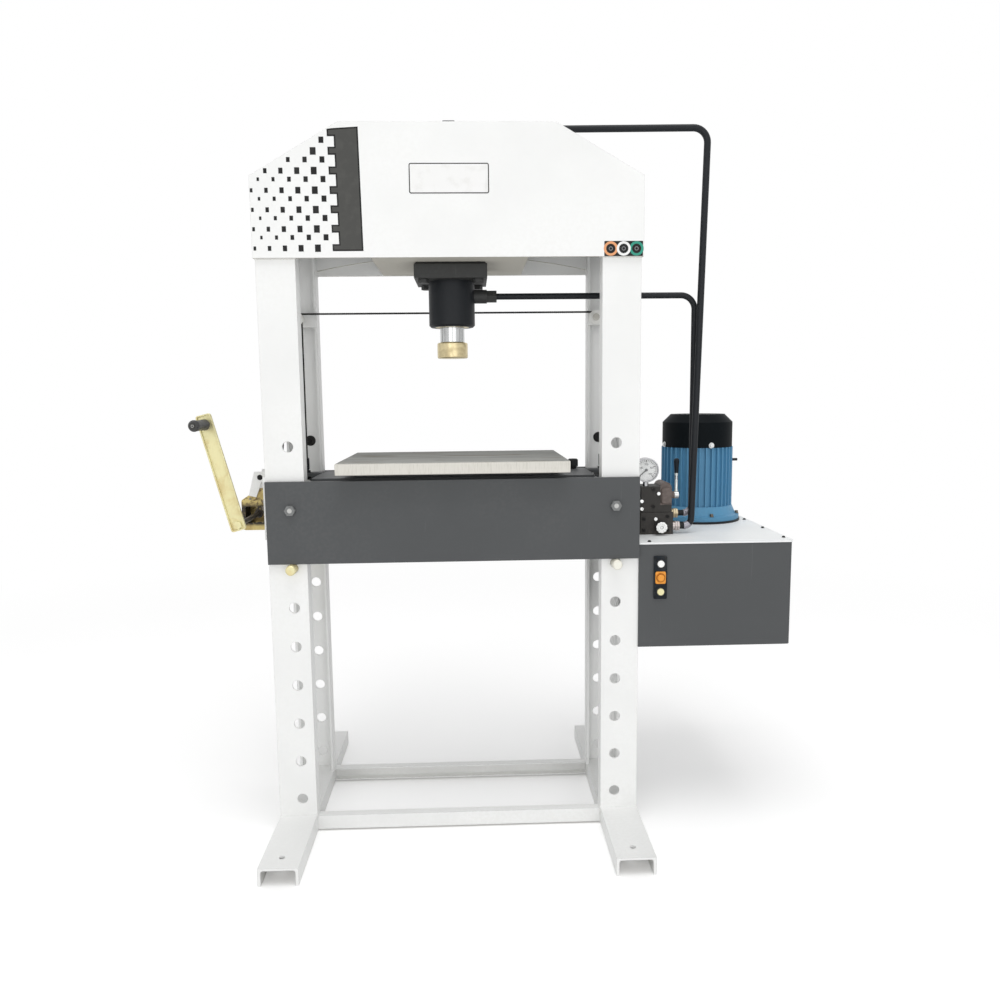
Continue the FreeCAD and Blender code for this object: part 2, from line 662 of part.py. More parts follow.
def make_cylinder():
    half = FLANGE_BLOCK / 2
    block = box(-half, half, -half, half, BLOCK_BOTTOM, SEAT_Z)
    top_edges = [e for e in block.Edges if min(v.Point.z for v in e.Vertexes) > SEAT_Z - 0.1]
    block = block.makeChamfer(FLANGE_CHAMFER, top_edges)
    block = block.cut(rod(BARREL_D, V(0, 0, BLOCK_BOTTOM - 1), V(0, 0, SEAT_Z + 1)))
    bolts = []
    for sx in (-1, 1):
        for sy in (-1, 1):
            x, y = sx * FLANGE_BOLT_SPACING / 2, sy * FLANGE_BOLT_SPACING / 2
            shank = rod(FLANGE_BOLT_D, V(x, y, BLOCK_BOTTOM - 1), V(x, y, SEAT_Z + 1))
            block = block.cut(shank)
            head_seat = V(x, y, BLOCK_BOTTOM)
            bolts.append(hex_bolt(FLANGE_BOLT_D, FLANGE_BOLT_ACROSS, FLANGE_BOLT_HEAD,
                                  head_seat, V(0, 0, -1), FLANGE_BLOCK_T))
    save("flange_block", block)
    save("flange_bolts", *bolts)

    outer, bore = BARREL_D / 2, BORE_D / 2
    barrel = revolve([(bore, BARREL_BOTTOM), (outer - BARREL_CHAMFER, BARREL_BOTTOM),
                      (outer, BARREL_BOTTOM + BARREL_CHAMFER), (outer, BARREL_TOP), (bore, BARREL_TOP)],
                     V(0, 0, 0))
    save("cylinder_barrel", barrel)
    gland_top = BARREL_BOTTOM + GLAND_LENGTH
    gland_bore = ROD_D / 2 + ROD_FIT
    gland = revolve([(gland_bore, BARREL_BOTTOM), (bore, BARREL_BOTTOM), (bore, gland_top),
                     (gland_bore, gland_top)], V(0, 0, 0))
    save("cylinder_gland", gland)

    rim = BARREL_D / 2 - BARREL_CHAMFER
    cap = revolve([(0, BARREL_TOP), (BARREL_D / 2, BARREL_TOP), (BARREL_D / 2, CAP_TOP - BARREL_CHAMFER),
                   (rim, CAP_TOP), (0, CAP_TOP)], V(0, 0, 0))
    e = ELBOW_SIZE / 2
    elbow = box(-e, e, -e, e, CAP_TOP, ELBOW_Z + e)
    top_edges = edges_along(elbow, Y_AXIS, lambda p: p.z > CAP_TOP + 1)
    elbow = elbow.makeChamfer(ELBOW_CHAMFER, top_edges)
    nut = hexagon(PORT_NUT_ACROSS, V(e, 0, ELBOW_Z), V(e + PORT_NUT_LENGTH, 0, ELBOW_Z))
    save("cylinder_cap", fuse(cap, elbow, nut))

    port_start = V(0, 0, PORT_Z)
    boss_end = V(BARREL_D / 2 + PORT_BOSS_LENGTH, 0, PORT_Z)
    barrel_space = rod(BARREL_D, V(0, 0, PORT_Z - PORT_BOSS_D), V(0, 0, PORT_Z + PORT_BOSS_D))
    boss = rod(PORT_BOSS_D, port_start, boss_end).cut(barrel_space)
    union = hexagon(PORT_NUT_ACROSS, boss_end, V(PORT_END_X, 0, PORT_Z))
    save("cylinder_port", boss, union)


def make_ram():
    piston_top = BARREL_TOP - PISTON_TOP_CLEAR
    piston_bottom = piston_top - PISTON_LENGTH
    r, p, s = ROD_D / 2, BORE_D / 2 - PISTON_FIT, NOSE_SPIGOT_D / 2
    spigot = ROD_BOTTOM - NOSE_SPIGOT_LENGTH
    c = ROD_CHAMFER
    ram = revolve([(0, spigot), (s, spigot), (s, ROD_BOTTOM), (r - c, ROD_BOTTOM),
                   (r, ROD_BOTTOM + c), (r, piston_bottom), (p, piston_bottom), (p, piston_top),
                   (0, piston_top)], V(0, 0, 0))
    save("ram_rod", ram)
    n, c = NOSE_D / 2, NOSE_CHAMFER
    nose_bottom = ROD_BOTTOM - NOSE_LENGTH
    nose = revolve([(0, nose_bottom), (n - c, nose_bottom), (n, nose_bottom + c),
                    (n, ROD_BOTTOM - c), (n - c, ROD_BOTTOM), (s, ROD_BOTTOM), (s, spigot),
                    (0, spigot)], V(0, 0, 0))
    save("ram_nose", nose)


# ---- pipes ----
def make_pipes():
    """Rigid pipes from the cylinder's two ports to the fittings on the valve."""
    low_end_z = LID_TOP + FITTING_HIGH_Z
    low = [V(PORT_END_X, 0, PORT_Z), V(PIPE_LOW_X, 0, PORT_Z),
           V(PIPE_LOW_X, 0, low_end_z), V(FITTING_END_X, 0, low_end_z)]
    save("pipe_low", bent_bar(low, [PIPE_BEND_R, PIPE_END_BEND_R], PIPE_LOW_D))
    start_x = ELBOW_SIZE / 2 + PORT_NUT_LENGTH
    high_end_z = LID_TOP + FITTING_LOW_Z
    down_x = PIPE_HIGH_TOP_X - PIPE_HIGH_LEAN
    high = [V(start_x, 0, ELBOW_Z), V(start_x + PIPE_SWING_START, 0, ELBOW_Z),
            V(PIPE_HIGH_TOP_X, PIPE_HIGH_TOP_Y, ELBOW_Z),
            V(down_x, FITTING_LOW_Y, high_end_z), V(FITTING_END_X, FITTING_LOW_Y, high_end_z)]
    save("pipe_high", bent_bar(high, [PIPE_SWING_R, PIPE_BEND_R, PIPE_END_BEND_R], PIPE_HIGH_D))


# ---- rope lift ----
def sheave(x, y, grooves):
    """Nylon sheave on the Y axis with one groove per rope."""
    rim = SHEAVE_PITCH_R + SHEAVE_RIM
    root = SHEAVE_PITCH_R - ROPE_D / 2 - ROPE_GAP
    root_half = ROPE_D / 2 + ROPE_GAP
    bore = SHEAVE_PIN_D / 2 + SHEAVE_FIT
    low = -grooves * ROPE_SPACING / 2
    profile = [(bore, low), (rim, low)]
    for k in range(grooves):
        middle = low + (k + 0.5) * ROPE_SPACING
        edge = ROPE_SPACING / 2 - SHEAVE_LAND
        profile += [(rim, middle - edge), (root, middle - root_half),
                    (root, middle + root_half), (rim, middle + edge)]
    profile += [(rim, -low), (bore, -low)]
    return revolve(profile, V(x, y, SHEAVE_Z), Y_AXIS)


def sheave_support(x, y, width, side):
    """Cross plate on the rear flange tips, and the pin that carries the sheave."""
    x0, x1 = sorted((side * INNER_X, side * HALF_W))
    plate_y = FLANGE_TIP_Y - SHEAVE_PLATE_T
    low = SHEAVE_Z - SHEAVE_PLATE_H / 2
    plate = box(x0, x1, plate_y, FLANGE_TIP_Y, low, low + SHEAVE_PLATE_H)
    front = y - width / 2 - SHEAVE_END_GAP
    back = y + width / 2 + SHEAVE_END_GAP
    pin = rod(SHEAVE_PIN_D, V(x, front, SHEAVE_Z), V(x, FLANGE_TIP_Y + SHEAVE_PIN_PROUD, SHEAVE_Z))
    plate = plate.cut(pin)
    head = rod(COLLAR_D, V(x, front - COLLAR_T, SHEAVE_Z), V(x, front, SHEAVE_Z))
    spacer = rod(COLLAR_D, V(x, back, SHEAVE_Z), V(x, plate_y, SHEAVE_Z))
    return plate, fuse(pin, head, spacer)


def rope_leaves_drum():
    """Where a rope leaves the drum's inner side, and its heading to the left sheave."""
    drum = V(DRUM_X, 0, DRUM_Z)
    across = V(SHEAVE_LEFT_X, 0, SHEAVE_Z) - drum
    lean = math.asin((DRUM_PITCH_R + SHEAVE_PITCH_R) / across.Length)
    heading = math.atan2(across.z, across.x) + lean
    climb = V(math.cos(heading), 0, math.sin(heading))
    return drum + climb.cross(Y_AXIS) * -DRUM_PITCH_R, climb


def rope_run(y, drop_x):
    """Rope from the drum over the sheaves to the level of the falls."""
    start, climb = rope_leaves_drum()
    corner = start + climb * ((ROPE_RUN_Z - start.z) / climb.z)
    points = [start, corner, V(drop_x, 0, ROPE_RUN_Z), V(drop_x, 0, SHEAVE_Z)]
    return shifted(bent_bar(points, [SHEAVE_PITCH_R] * 2, ROPE_D), y=y)


def make_lift():
    falls = []
    runs = []
    for x, y in ((-ROPE_DROP_X, ROPE_LEFT_Y), (ROPE_DROP_X, ROPE_RIGHT_Y)):
        runs.append(rope_run(y, x))
        falls.append(rod(ROPE_D, V(x, y, FALL_END), V(x, y, SHEAVE_Z)))
    save("rope_runs", *runs)
    save("rope_falls", *falls)
    save("sheave_left", sheave(SHEAVE_LEFT_X, LIFT_Y, 2))
    save("sheave_right", sheave(SHEAVE_RIGHT_X, ROPE_RIGHT_Y, 1))
    left_plate, left_pin = sheave_support(SHEAVE_LEFT_X, LIFT_Y, 2 * ROPE_SPACING, -1)
    right_plate, right_pin = sheave_support(SHEAVE_RIGHT_X, ROPE_RIGHT_Y, ROPE_SPACING, 1)
    save("sheave_plates", left_plate, right_plate)
    save("sheave_pins", left_pin, right_pin)


# ---- hand winch ----
def spur_gear(teeth, width, phase):
    """Spur gear about the Y axis at the origin, a tooth centred on the phase angle."""
    pitch_r = teeth * GEAR_MODULE / 2
    root_r = pitch_r - GEAR_DEDENDUM * GEAR_MODULE
    tip_r = pitch_r + GEAR_ADDENDUM * GEAR_MODULE
    step = 2 * math.pi / teeth
    flank = ((0.30 * step, root_r), (0.21 * step, pitch_r), (0.10 * step, tip_r))
    points = []
    for k in range(teeth):
        middle = math.radians(phase) + k * step
        around = [(-a, r) for a, r in flank] + list(reversed(flank))
        for turn, r in around:
            points.append(V(r * math.cos(middle + turn), 0, r * math.sin(middle + turn)))
    return prism(points, V(0, width, 0))


def winch_cheek():
    """White arm that comes out from the plate and down to the winch's side."""
    top = WINCH_LOW + WINCH_PLATE_H
    face = WINCH_FACE_X
    low = top - CHEEK_DROP
    slant = math.radians(GEAR_MESH_ANGLE - 180.0)
    outline = [
        (face, top - CHEEK_TAB),
        (face, top),
        (face - CHEEK_REACH_TOP, top),
        (face - CHEEK_REACH_LOW, low + CHEEK_WIDTH * math.cos(slant) / 2),
        (face - CHEEK_REACH_LOW + CHEEK_WIDTH, low),
        (face - CHEEK_REACH_TOP + CHEEK_WIDTH, top - CHEEK_TAB),
    ]
    cheek = plate_xz(outline, WINCH_FRONT - CHEEK_T, WINCH_FRONT)
    hole_x, hole_z = face - CHEEK_REACH_TOP + CHEEK_HOLE_INSET, top - CHEEK_HOLE_INSET
    hole = rod(CHEEK_HOLE_D, V(hole_x, WINCH_FRONT - CHEEK_T - 1, hole_z),
               V(hole_x, WINCH_FRONT + 1, hole_z))
    return cheek.cut(hole)


def across_winch(shape):
    """Copy of a piece on the winch's front side, mirrored to its back side."""
    return shape.mirror(V(0, WINCH_Y, 0), Y_AXIS)


def pawl_pivot():
    angle = math.radians(PAWL_ANGLE)
    r = GEAR_TIP_R + PAWL_CLEAR
    return V(DRUM_X + r * math.cos(angle), 0, DRUM_Z + r * math.sin(angle))


def make_winch_frame():
    face = WINCH_FACE_X
    back = box(face, -HALF_W, -HALF_D, HALF_D, WINCH_LOW, WINCH_LOW + WINCH_PLATE_H)
    cheek = winch_cheek()
    save("winch_bracket", fuse(back, cheek, across_winch(cheek)))

    outer = face - WINCH_REACH
    side_top = WINCH_LOW + WINCH_SIDE_H
    outline = [(face, WINCH_LOW), (outer, WINCH_LOW), (outer, WINCH_LOW + WINCH_OUT_H),
               ((face + outer) / 2, side_top), (face, side_top)]
    side = plate_xz(outline, WINCH_FRONT, WINCH_FRONT + WINCH_SIDE_T)
    side = side.makeFillet(WINCH_CORNER_R, edges_along(side, Y_AXIS, lambda p: p.x < face - 1))
    axle_hole = WINCH_AXLE_D + 2 * WINCH_FIT
    pivot = pawl_pivot()
    for x, z, d in ((DRUM_X, DRUM_Z, axle_hole), (CRANK_X, CRANK_Z, axle_hole)):
        side = side.cut(rod(d, V(x, WINCH_FRONT - 1, z), V(x, WINCH_FRONT + WINCH_SIDE_T + 1, z)))
    rear_side = across_winch(side)
    pawl_hole = rod(PAWL_PIN_D + 2 * WINCH_FIT, V(pivot.x, WINCH_FRONT - 1, pivot.z),
                    V(pivot.x, WINCH_FRONT + WINCH_SIDE_T + 1, pivot.z))
    web = box(face - WINCH_SIDE_T, face, WINCH_FRONT, WINCH_BACK, WINCH_LOW, side_top)
    floor = box(face - WINCH_FLOOR_REACH, face, WINCH_FRONT, WINCH_BACK,
                WINCH_LOW, WINCH_LOW + WINCH_SIDE_T)
    near, far = face - WINDOW_INSET, face - WINDOW_INSET - WINDOW_WIDTH
    window = plate_xz([(far, WINCH_LOW + WINDOW_LOW), (near, WINCH_LOW + WINDOW_LOW + WINDOW_RISE),
                       (near, WINCH_LOW + WINDOW_TOP), (far, WINCH_LOW + WINDOW_TOP)],
                      WINCH_FRONT - 1, WINCH_FRONT + WINCH_SIDE_T + 1)
    window = window.makeFillet(WINDOW_R, edges_along(window, Y_AXIS))
    eye_front, eye_back = WINCH_FRONT - 2, WINCH_FRONT + WINCH_SIDE_T + 2
    eye = rod(EYE_D, V(CRANK_X, eye_front, CRANK_Z), V(CRANK_X, eye_back, CRANK_Z))
    neck = box(CRANK_X - EYE_NECK / 2, CRANK_X + EYE_NECK / 2, eye_front, eye_back,
               CRANK_Z, WINCH_LOW + WINDOW_TOP + 1)
    window = window.cut(fuse(eye, neck))
    save("winch_frame", fuse(side.cut(pawl_hole).cut(window), rear_side, web, floor))


def crank_arm():
    """Pressed steel arm along +X from its shaft, its folded lips to the front."""
    half, tip = CRANK_WIDTH / 2, CRANK_LENGTH + CRANK_TIP
    inner = half - CRANK_T
    arm = box(-CRANK_HEEL, tip, CRANK_Y - CRANK_LIP, CRANK_Y, -half, half)
    arm = arm.makeFillet(CRANK_CORNER_R, edges_along(arm, Y_AXIS))
    tray = box(CRANK_T - CRANK_HEEL, tip - CRANK_T, CRANK_Y - CRANK_LIP - 1, CRANK_Y - CRANK_T, -inner, inner)
    tray = tray.makeFillet(CRANK_CORNER_R - CRANK_T, edges_along(tray, Y_AXIS))
    stud_end = KNOB_BACK - KNOB_LENGTH - KNOB_STUD_PAST
    stud = rod(KNOB_STUD_D, V(CRANK_LENGTH, CRANK_Y, 0), V(CRANK_LENGTH, stud_end, 0))
    nut = hexagon(CRANK_NUT_ACROSS, V(0, CRANK_Y - CRANK_LIP, 0), V(0, CRANK_Y, 0))
    arm = fuse(arm.cut(tray), stud, nut)
    return shifted(turned(arm, Y_AXIS, -CRANK_LEAN), CRANK_X, 0, CRANK_Z)


def make_winch_moving():
    gear = spur_gear(GEAR_TEETH, GEAR_WIDTH, GEAR_MESH_ANGLE + 180.0 / GEAR_TEETH)
    gear = shifted(gear, DRUM_X, GEAR_FRONT, DRUM_Z)
    core = rod(DRUM_CORE_D, V(DRUM_X, GEAR_FRONT, DRUM_Z), V(DRUM_X, DRUM_BACK, DRUM_Z))
    rim = rod(DRUM_RIM_D, V(DRUM_X, DRUM_BACK - DRUM_RIM_T, DRUM_Z), V(DRUM_X, DRUM_BACK, DRUM_Z))
    axle_end = WINCH_BACK + WINCH_AXLE_PROUD
    axle = rod(WINCH_AXLE_D, V(DRUM_X, WINCH_FRONT - WINCH_AXLE_PROUD, DRUM_Z),
               V(DRUM_X, axle_end, DRUM_Z))
    save("winch_drum", fuse(gear, core, rim, axle))

    pinion = spur_gear(PINION_TEETH, GEAR_WIDTH, GEAR_MESH_ANGLE + 180.0)
    pinion = shifted(pinion, CRANK_X, GEAR_FRONT, CRANK_Z)
    shaft = rod(WINCH_AXLE_D, V(CRANK_X, CRANK_Y - CRANK_T, CRANK_Z), V(CRANK_X, axle_end, CRANK_Z))
    save("winch_crank", fuse(pinion, shaft, crank_arm()))

    lean = math.radians(CRANK_LEAN)
    knob_at = V(CRANK_X + CRANK_LENGTH * math.cos(lean), KNOB_BACK,
                CRANK_Z + CRANK_LENGTH * math.sin(lean))
    bore, r = KNOB_STUD_D / 2 + KNOB_FIT, KNOB_D / 2
    knob = revolve([(bore, 0), (r - KNOB_END_R, 0), (r, 2 * KNOB_END_R),
                    (r - KNOB_WAIST, KNOB_LENGTH / 2), (r, KNOB_LENGTH - 2 * KNOB_END_R),
                    (r - KNOB_END_R, KNOB_LENGTH), (bore, KNOB_LENGTH)], knob_at, V(0, -1, 0))
    save("winch_knob", knob)

    pivot = pawl_pivot()
    toe_r = GEAR_TIP_R + PAWL_TOE_GAP
    toe_angle = math.radians(PAWL_ANGLE - PAWL_SPAN)
    toe = V(DRUM_X + toe_r * math.cos(toe_angle), 0, DRUM_Z + toe_r * math.sin(toe_angle))
    along = (toe - pivot).normalize()
    outward = along.cross(Y_AXIS)
    blade = [pivot, toe, toe + outward * PAWL_DEPTH - along * (PAWL_DEPTH / 2),
             pivot + outward * PAWL_DEPTH]
    blade = shifted(prism(blade, V(0, PAWL_T, 0)), y=GEAR_FRONT)
    at_front = V(pivot.x, GEAR_FRONT, pivot.z)
    at_back = V(pivot.x, GEAR_FRONT + PAWL_T, pivot.z)
    hub = rod(PAWL_HUB_D, at_front, at_back)
    pin = rod(PAWL_PIN_D, V(pivot.x, WINCH_FRONT - PAWL_PIN_PROUD, pivot.z), at_back)
    save("winch_pawl", fuse(hub, blade, pin))


# ---- pressing bed ----
def rope_terminal(x, y, low_seat):
    """Threaded stud with two nuts and a swaged sleeve, through the lug."""
    nut, past = TERMINAL_NUT_H, TERMINAL_STUD_PAST
    shank_end = BASE_TOP + nut + past
    stud = rod(TERMINAL_STUD_D, V(x, y, low_seat - nut - past), V(x, y, shank_end))
    under = hexagon(TERMINAL_NUT_ACROSS, V(x, y, low_seat - nut), V(x, y, low_seat))
    over = hexagon(TERMINAL_NUT_ACROSS, V(x, y, BASE_TOP), V(x, y, BASE_TOP + nut))
    sleeve = rod(TERMINAL_D, V(x, y, shank_end), V(x, y, FALL_END))
    return fuse(stud, under, over, sleeve)


def make_bed():
    face = -BED_FACE_Y - BED_PLATE_T
    front = box(-BED_HALF, BED_HALF, face, -BED_FACE_Y, BED_BOTTOM, BED_TOP)
    bolts = []
    for side in (-1, 1):
        seat = V(side * BED_BOLT_X, face, BED_TOP - BED_BOLT_DROP)
        bolt = hex_bolt(BED_BOLT_D, BED_BOLT_ACROSS, BED_BOLT_HEAD, seat, V(0, -1, 0), BED_PLATE_T)
        front = front.cut(bolt)
        bolts += [bolt, mirrored_y(bolt)]
    save("bed_plates", front, mirrored_y(front))

    rib_top = BASE_TOP - BASE_PLATE_T
    ribs = []
    outer = INNER_X - BED_RIB_INSET - BED_RIB_T / 2
    for x in (-outer, -BED_RIB_PITCH / 2, BED_RIB_PITCH / 2, outer):
        ribs.append(box(x - BED_RIB_T / 2, x + BED_RIB_T / 2, -BED_FACE_Y, BED_FACE_Y,
                        BED_BOTTOM + BED_RIB_CLEAR, rib_top))

    base_x, base_y = INNER_X - BASE_PLATE_INSET, BASE_PLATE_DEPTH / 2
    base = box(-base_x, base_x, -base_y, base_y, rib_top, BASE_TOP)
    base = base.makeFillet(BASE_CORNER_R, edges_along(base, Z_AXIS))
    lug_x, lug_y = ROPE_DROP_X + LUG_PAST, LUG_WIDTH / 2
    lug = box(-lug_x, lug_x, LIFT_Y - lug_y, LIFT_Y + lug_y, rib_top, BASE_TOP)
    lug = lug.makeFillet(LUG_CORNER_R, edges_along(lug, Z_AXIS))
    base = fuse(base, lug)
    terminals = []
    for x, y in ((-ROPE_DROP_X, ROPE_LEFT_Y), (ROPE_DROP_X, ROPE_RIGHT_Y)):
        terminal = rope_terminal(x, y, rib_top)
        base = base.cut(terminal)
        terminals.append(terminal)
    save("bed_base_plate", base)
    save("rope_terminals", *terminals)

    risers = []
    for side in (-1, 1):
        y = side * RISER_SPACING / 2
        risers.append(box(-RISER_LENGTH / 2, RISER_LENGTH / 2, y - RISER_WIDTH / 2,
                          y + RISER_WIDTH / 2, BASE_TOP, TABLE_BOTTOM))
    save("bed_spacers", *(ribs + risers))
    table = box(-TABLE_LENGTH / 2, TABLE_LENGTH / 2, -TABLE_DEPTH / 2, TABLE_DEPTH / 2,
                TABLE_BOTTOM, TABLE_BOTTOM + TABLE_T)
    save("table_plate", table.makeChamfer(TABLE_CHAMFER, table.Edges))
    r, neck = STOP_D / 2, STOP_D / 2 - STOP_NECK_INSET
    stop = revolve([(0, 0), (neck, 0), (neck, STOP_NECK_HEIGHT), (r, STOP_NECK_HEIGHT + STOP_TAPER),
                    (r, STOP_HEIGHT - STOP_EDGE), (r - STOP_EDGE, STOP_HEIGHT), (0, STOP_HEIGHT)],
                   V(STOP_X, STOP_Y, BASE_TOP))
    save("bed_bolts", *(bolts + [stop]))


def make_support_pins():
    length = HALF_D + PIN_PROUD
    r, c = PIN_D / 2, PIN_CHAMFER
    pin = revolve([(0, -length), (r - c, -length), (r, -length + c), (r, length - c),
                   (r - c, length), (0, length)], V(PIN_X, 0, PIN_Z), Y_AXIS)
    save("support_pin_right", pin)
    save("support_pin_left", mirrored_x(pin))


# ---- power pack ----
def make_tank():
    x0, x1 = TANK_LEFT, TANK_LEFT + TANK_WIDTH
    y0, y1 = TANK_FRONT, TANK_FRONT + TANK_DEPTH
    w, r, o = TANK_WALL, TANK_CORNER_R, LID_OVERHANG
    shell = box(x0, x1, y0, y1, TANK_BOTTOM, TANK_TOP)
    shell = shell.makeFillet(r, edges_along(shell, Z_AXIS, lambda p: p.x > x0 + 1))
    inside = box(x0 + w, x1 - w, y0 + w, y1 - w, TANK_BOTTOM + w, TANK_TOP + 1)
    right = edges_along(inside, Z_AXIS, lambda p: p.x > x0 + w + 1)
    save("tank_body", shell.cut(inside.makeFillet(r - w, right)))
    lid = box(x0, x1 + o, y0 - o, y1 + o, TANK_TOP, LID_TOP)
    save("tank_lid", lid.makeFillet(r + o, edges_along(lid, Z_AXIS, lambda p: p.x > x0 + 1)))


def about_motor(shape, degrees=0.0):
    return shifted(turned(shape, Z_AXIS, degrees), MOTOR_X, MOTOR_Y)


def make_motor():
    centre = V(MOTOR_X, MOTOR_Y, 0)
    save("motor_ring", rod(MOTOR_RING_D, V(MOTOR_X, MOTOR_Y, LID_TOP),
                           V(MOTOR_X, MOTOR_Y, MOTOR_BASE)))
    bore = SHAFT_D / 2 + SHAFT_FIT
    flange_top = MOTOR_BASE + MOTOR_FLANGE_T
    flange_r, body_r = MOTOR_FLANGE_D / 2, MOTOR_BODY_D / 2
    fin_r = body_r + MOTOR_FIN_H
    profile = [(bore, MOTOR_BASE), (flange_r, MOTOR_BASE), (flange_r, flange_top),
               (flange_r - MOTOR_FLANGE_LAND, flange_top + MOTOR_FLANGE_RISE),
               (fin_r, MOTOR_BODY_Z), (body_r, MOTOR_BODY_Z), (body_r, MOTOR_BODY_TOP),
               (bore, MOTOR_BODY_TOP)]
    body = revolve(profile, centre)
    fin = box(body_r - MOTOR_FIN_ROOT, fin_r, -MOTOR_FIN_T / 2, MOTOR_FIN_T / 2,
              MOTOR_BODY_Z, MOTOR_BODY_TOP - COWL_LAP)
    fins = [about_motor(fin, 360.0 * k / MOTOR_FINS) for k in range(MOTOR_FINS)]
    stud_z = MOTOR_BODY_TOP - LIFT_STUD_DROP
    stud = rod(LIFT_STUD_D, V(body_r - MOTOR_FIN_ROOT, 0, stud_z),
               V(fin_r + LIFT_STUD_LENGTH, 0, stud_z))
    save("motor_body", fuse(body, *(fins + [about_motor(stud)])))

    cowl_r, w = COWL_D / 2, COWL_WALL
    low = MOTOR_BODY_TOP - COWL_LAP
    top = low + COWL_H
    shoulder_r, shoulder_z = cowl_r - COWL_SHOULDER, top - COWL_SHOULDER
    lap_r = body_r + COWL_FIT
    slope_w = w * math.tan(math.pi / 8)
    cowl = revolve([(lap_r, low), (cowl_r, low), (cowl_r, shoulder_z), (shoulder_r, top), (0, top),
                    (0, top - w), (shoulder_r - slope_w, top - w),
                    (cowl_r - w, shoulder_z - slope_w), (cowl_r - w, MOTOR_BODY_TOP),
                    (lap_r, MOTOR_BODY_TOP)], centre)
    for ring in range(1, COWL_HOLE_RINGS + 1):
        count = 6 * ring
        hole = rod(COWL_HOLE_D, V(ring * COWL_HOLE_PITCH, 0, top - w - 1),
                   V(ring * COWL_HOLE_PITCH, 0, top + 1))
        for k in range(count):
            cowl = cowl.cut(about_motor(hole, 360.0 * k / count))
    save("motor_cowl", cowl)

    fan_z = MOTOR_BODY_TOP + FAN_LIFT
    shaft = rod(SHAFT_D, V(0, 0, MOTOR_BASE + SHAFT_END_GAP), V(0, 0, fan_z + FAN_H))
    disc = rod(FAN_D, V(0, 0, fan_z), V(0, 0, fan_z + FAN_T))
    blade = box(0, FAN_D / 2 - FAN_T, -FAN_T / 2, FAN_T / 2, fan_z, fan_z + FAN_H)
    blades = [turned(blade, Z_AXIS, 360.0 * k / FAN_BLADES) for k in range(FAN_BLADES)]
    save("motor_rotor", about_motor(fuse(shaft, disc, *blades)))


# ---- valve, gauge and controls ----
def lever_pivot():
    return V(VALVE_RIGHT + LEVER_OUT, VALVE_FRONT + LEVER_BACK, LID_TOP + LEVER_UP)


def relief_axis():
    """Centre of the relief knob on the manifold's front face."""
    return V(VALVE_LEFT + RELIEF_X, VALVE_FRONT, LID_TOP + RELIEF_Z)


def make_valve():
    x0, x1 = VALVE_LEFT, VALVE_RIGHT
    y0, y1 = VALVE_FRONT, VALVE_FRONT + VALVE_DEPTH
    manifold = box(x0, x1, y0, y1, LID_TOP, VALVE_STEP)
    manifold = manifold.makeChamfer(VALVE_CHAMFER, edges_along(manifold, Z_AXIS))
    stem_at = relief_axis()
    stem = rod(RELIEF_STEM_D, stem_at + V(0, VALVE_CHAMFER, 0), stem_at - V(0, RELIEF_STEM, 0))
    save("valve_manifold", fuse(manifold, stem))

    i, lump_r = VALVE_BODY_INSET, VALVE_LUMP_D / 2
    lump_x = VALVE_FACE_X - lump_r
    lump_z = VALVE_TOP + VALVE_LUMP_RISE - lump_r
    body = box(x0 + i, lump_x, y0 + i, y1 - i, VALVE_STEP, VALVE_TOP)
    body = body.makeFillet(VALVE_BODY_R, edges_along(body, Y_AXIS, lambda p: p.z > VALVE_STEP + 1))
    lump = rod(VALVE_LUMP_D, V(lump_x, y0 + i, lump_z), V(lump_x, y1 - i, lump_z))
    block = box(lump_x - lump_r, VALVE_FACE_X, y0 + i, y1 - i, VALVE_STEP, lump_z)
    pivot = lever_pivot()
    root = V(VALVE_FACE_X - VALVE_CHAMFER, pivot.y, pivot.z)
    boss = rod(LEVER_HUB_D, root, pivot)
    pin = rod(LEVER_PIN_D, root, pivot + V(LEVER_GAP + LEVER_HUB_T + LEVER_PIN_PAST, 0, 0))
    low, front = VALVE_STEP + HOUSING_LOW, y0 + i - HOUSING_PROUD
    housing = box(VALVE_FACE_X - HOUSING_WIDTH, VALVE_FACE_X, front, y0 + i + HOUSING_R,
                  low, low + HOUSING_H)
    housing = housing.makeFillet(HOUSING_R, edges_along(housing, Y_AXIS))
    face_edges = [e for e in housing.Edges if max(v.Point.y for v in e.Vertexes) < front + 0.1]
    housing = housing.makeFillet(HOUSING_PROUD - 1, face_edges)
    save("valve_body", fuse(body, lump, block, housing, boss, pin))

    fittings = []
    for y, z in ((0.0, LID_TOP + FITTING_HIGH_Z), (FITTING_LOW_Y, LID_TOP + FITTING_LOW_Z)):
        base_end = V(x1 + FITTING_BASE, y, z)
        base = rod(FITTING_D, V(x1, y, z), base_end)
        nut = hexagon(FITTING_NUT_ACROSS, base_end, V(FITTING_END_X, y, z))
        fittings.append(fuse(base, nut))
    save("valve_fittings", *fittings)


def make_lever():
    pivot = lever_pivot()
    near = pivot + V(LEVER_GAP, 0, 0)
    far = near + V(LEVER_HUB_T, 0, 0)
    middle = (near + far) * 0.5
    bore = rod(LEVER_PIN_D + 2 * LEVER_FIT, pivot, far + V(1, 0, 0))
    stem_top = middle + V(0, 0, LEVER_HUB_D / 2 + LEVER_ROD)
    stem = rod(LEVER_ROD_D, middle, stem_top)
    save("valve_lever", fuse(rod(LEVER_HUB_D, near, far), stem).cut(bore))
    r, e = LEVER_GRIP_D / 2, LEVER_GRIP_EDGE
    grip = revolve([(0, 0), (r - e, 0), (r - e / 2, LEVER_GRIP / 2), (r, LEVER_GRIP - r),
                    (r - e / 2, LEVER_GRIP - e), (r - 2 * e, LEVER_GRIP), (0, LEVER_GRIP)], stem_top)
    save("lever_grip", grip)


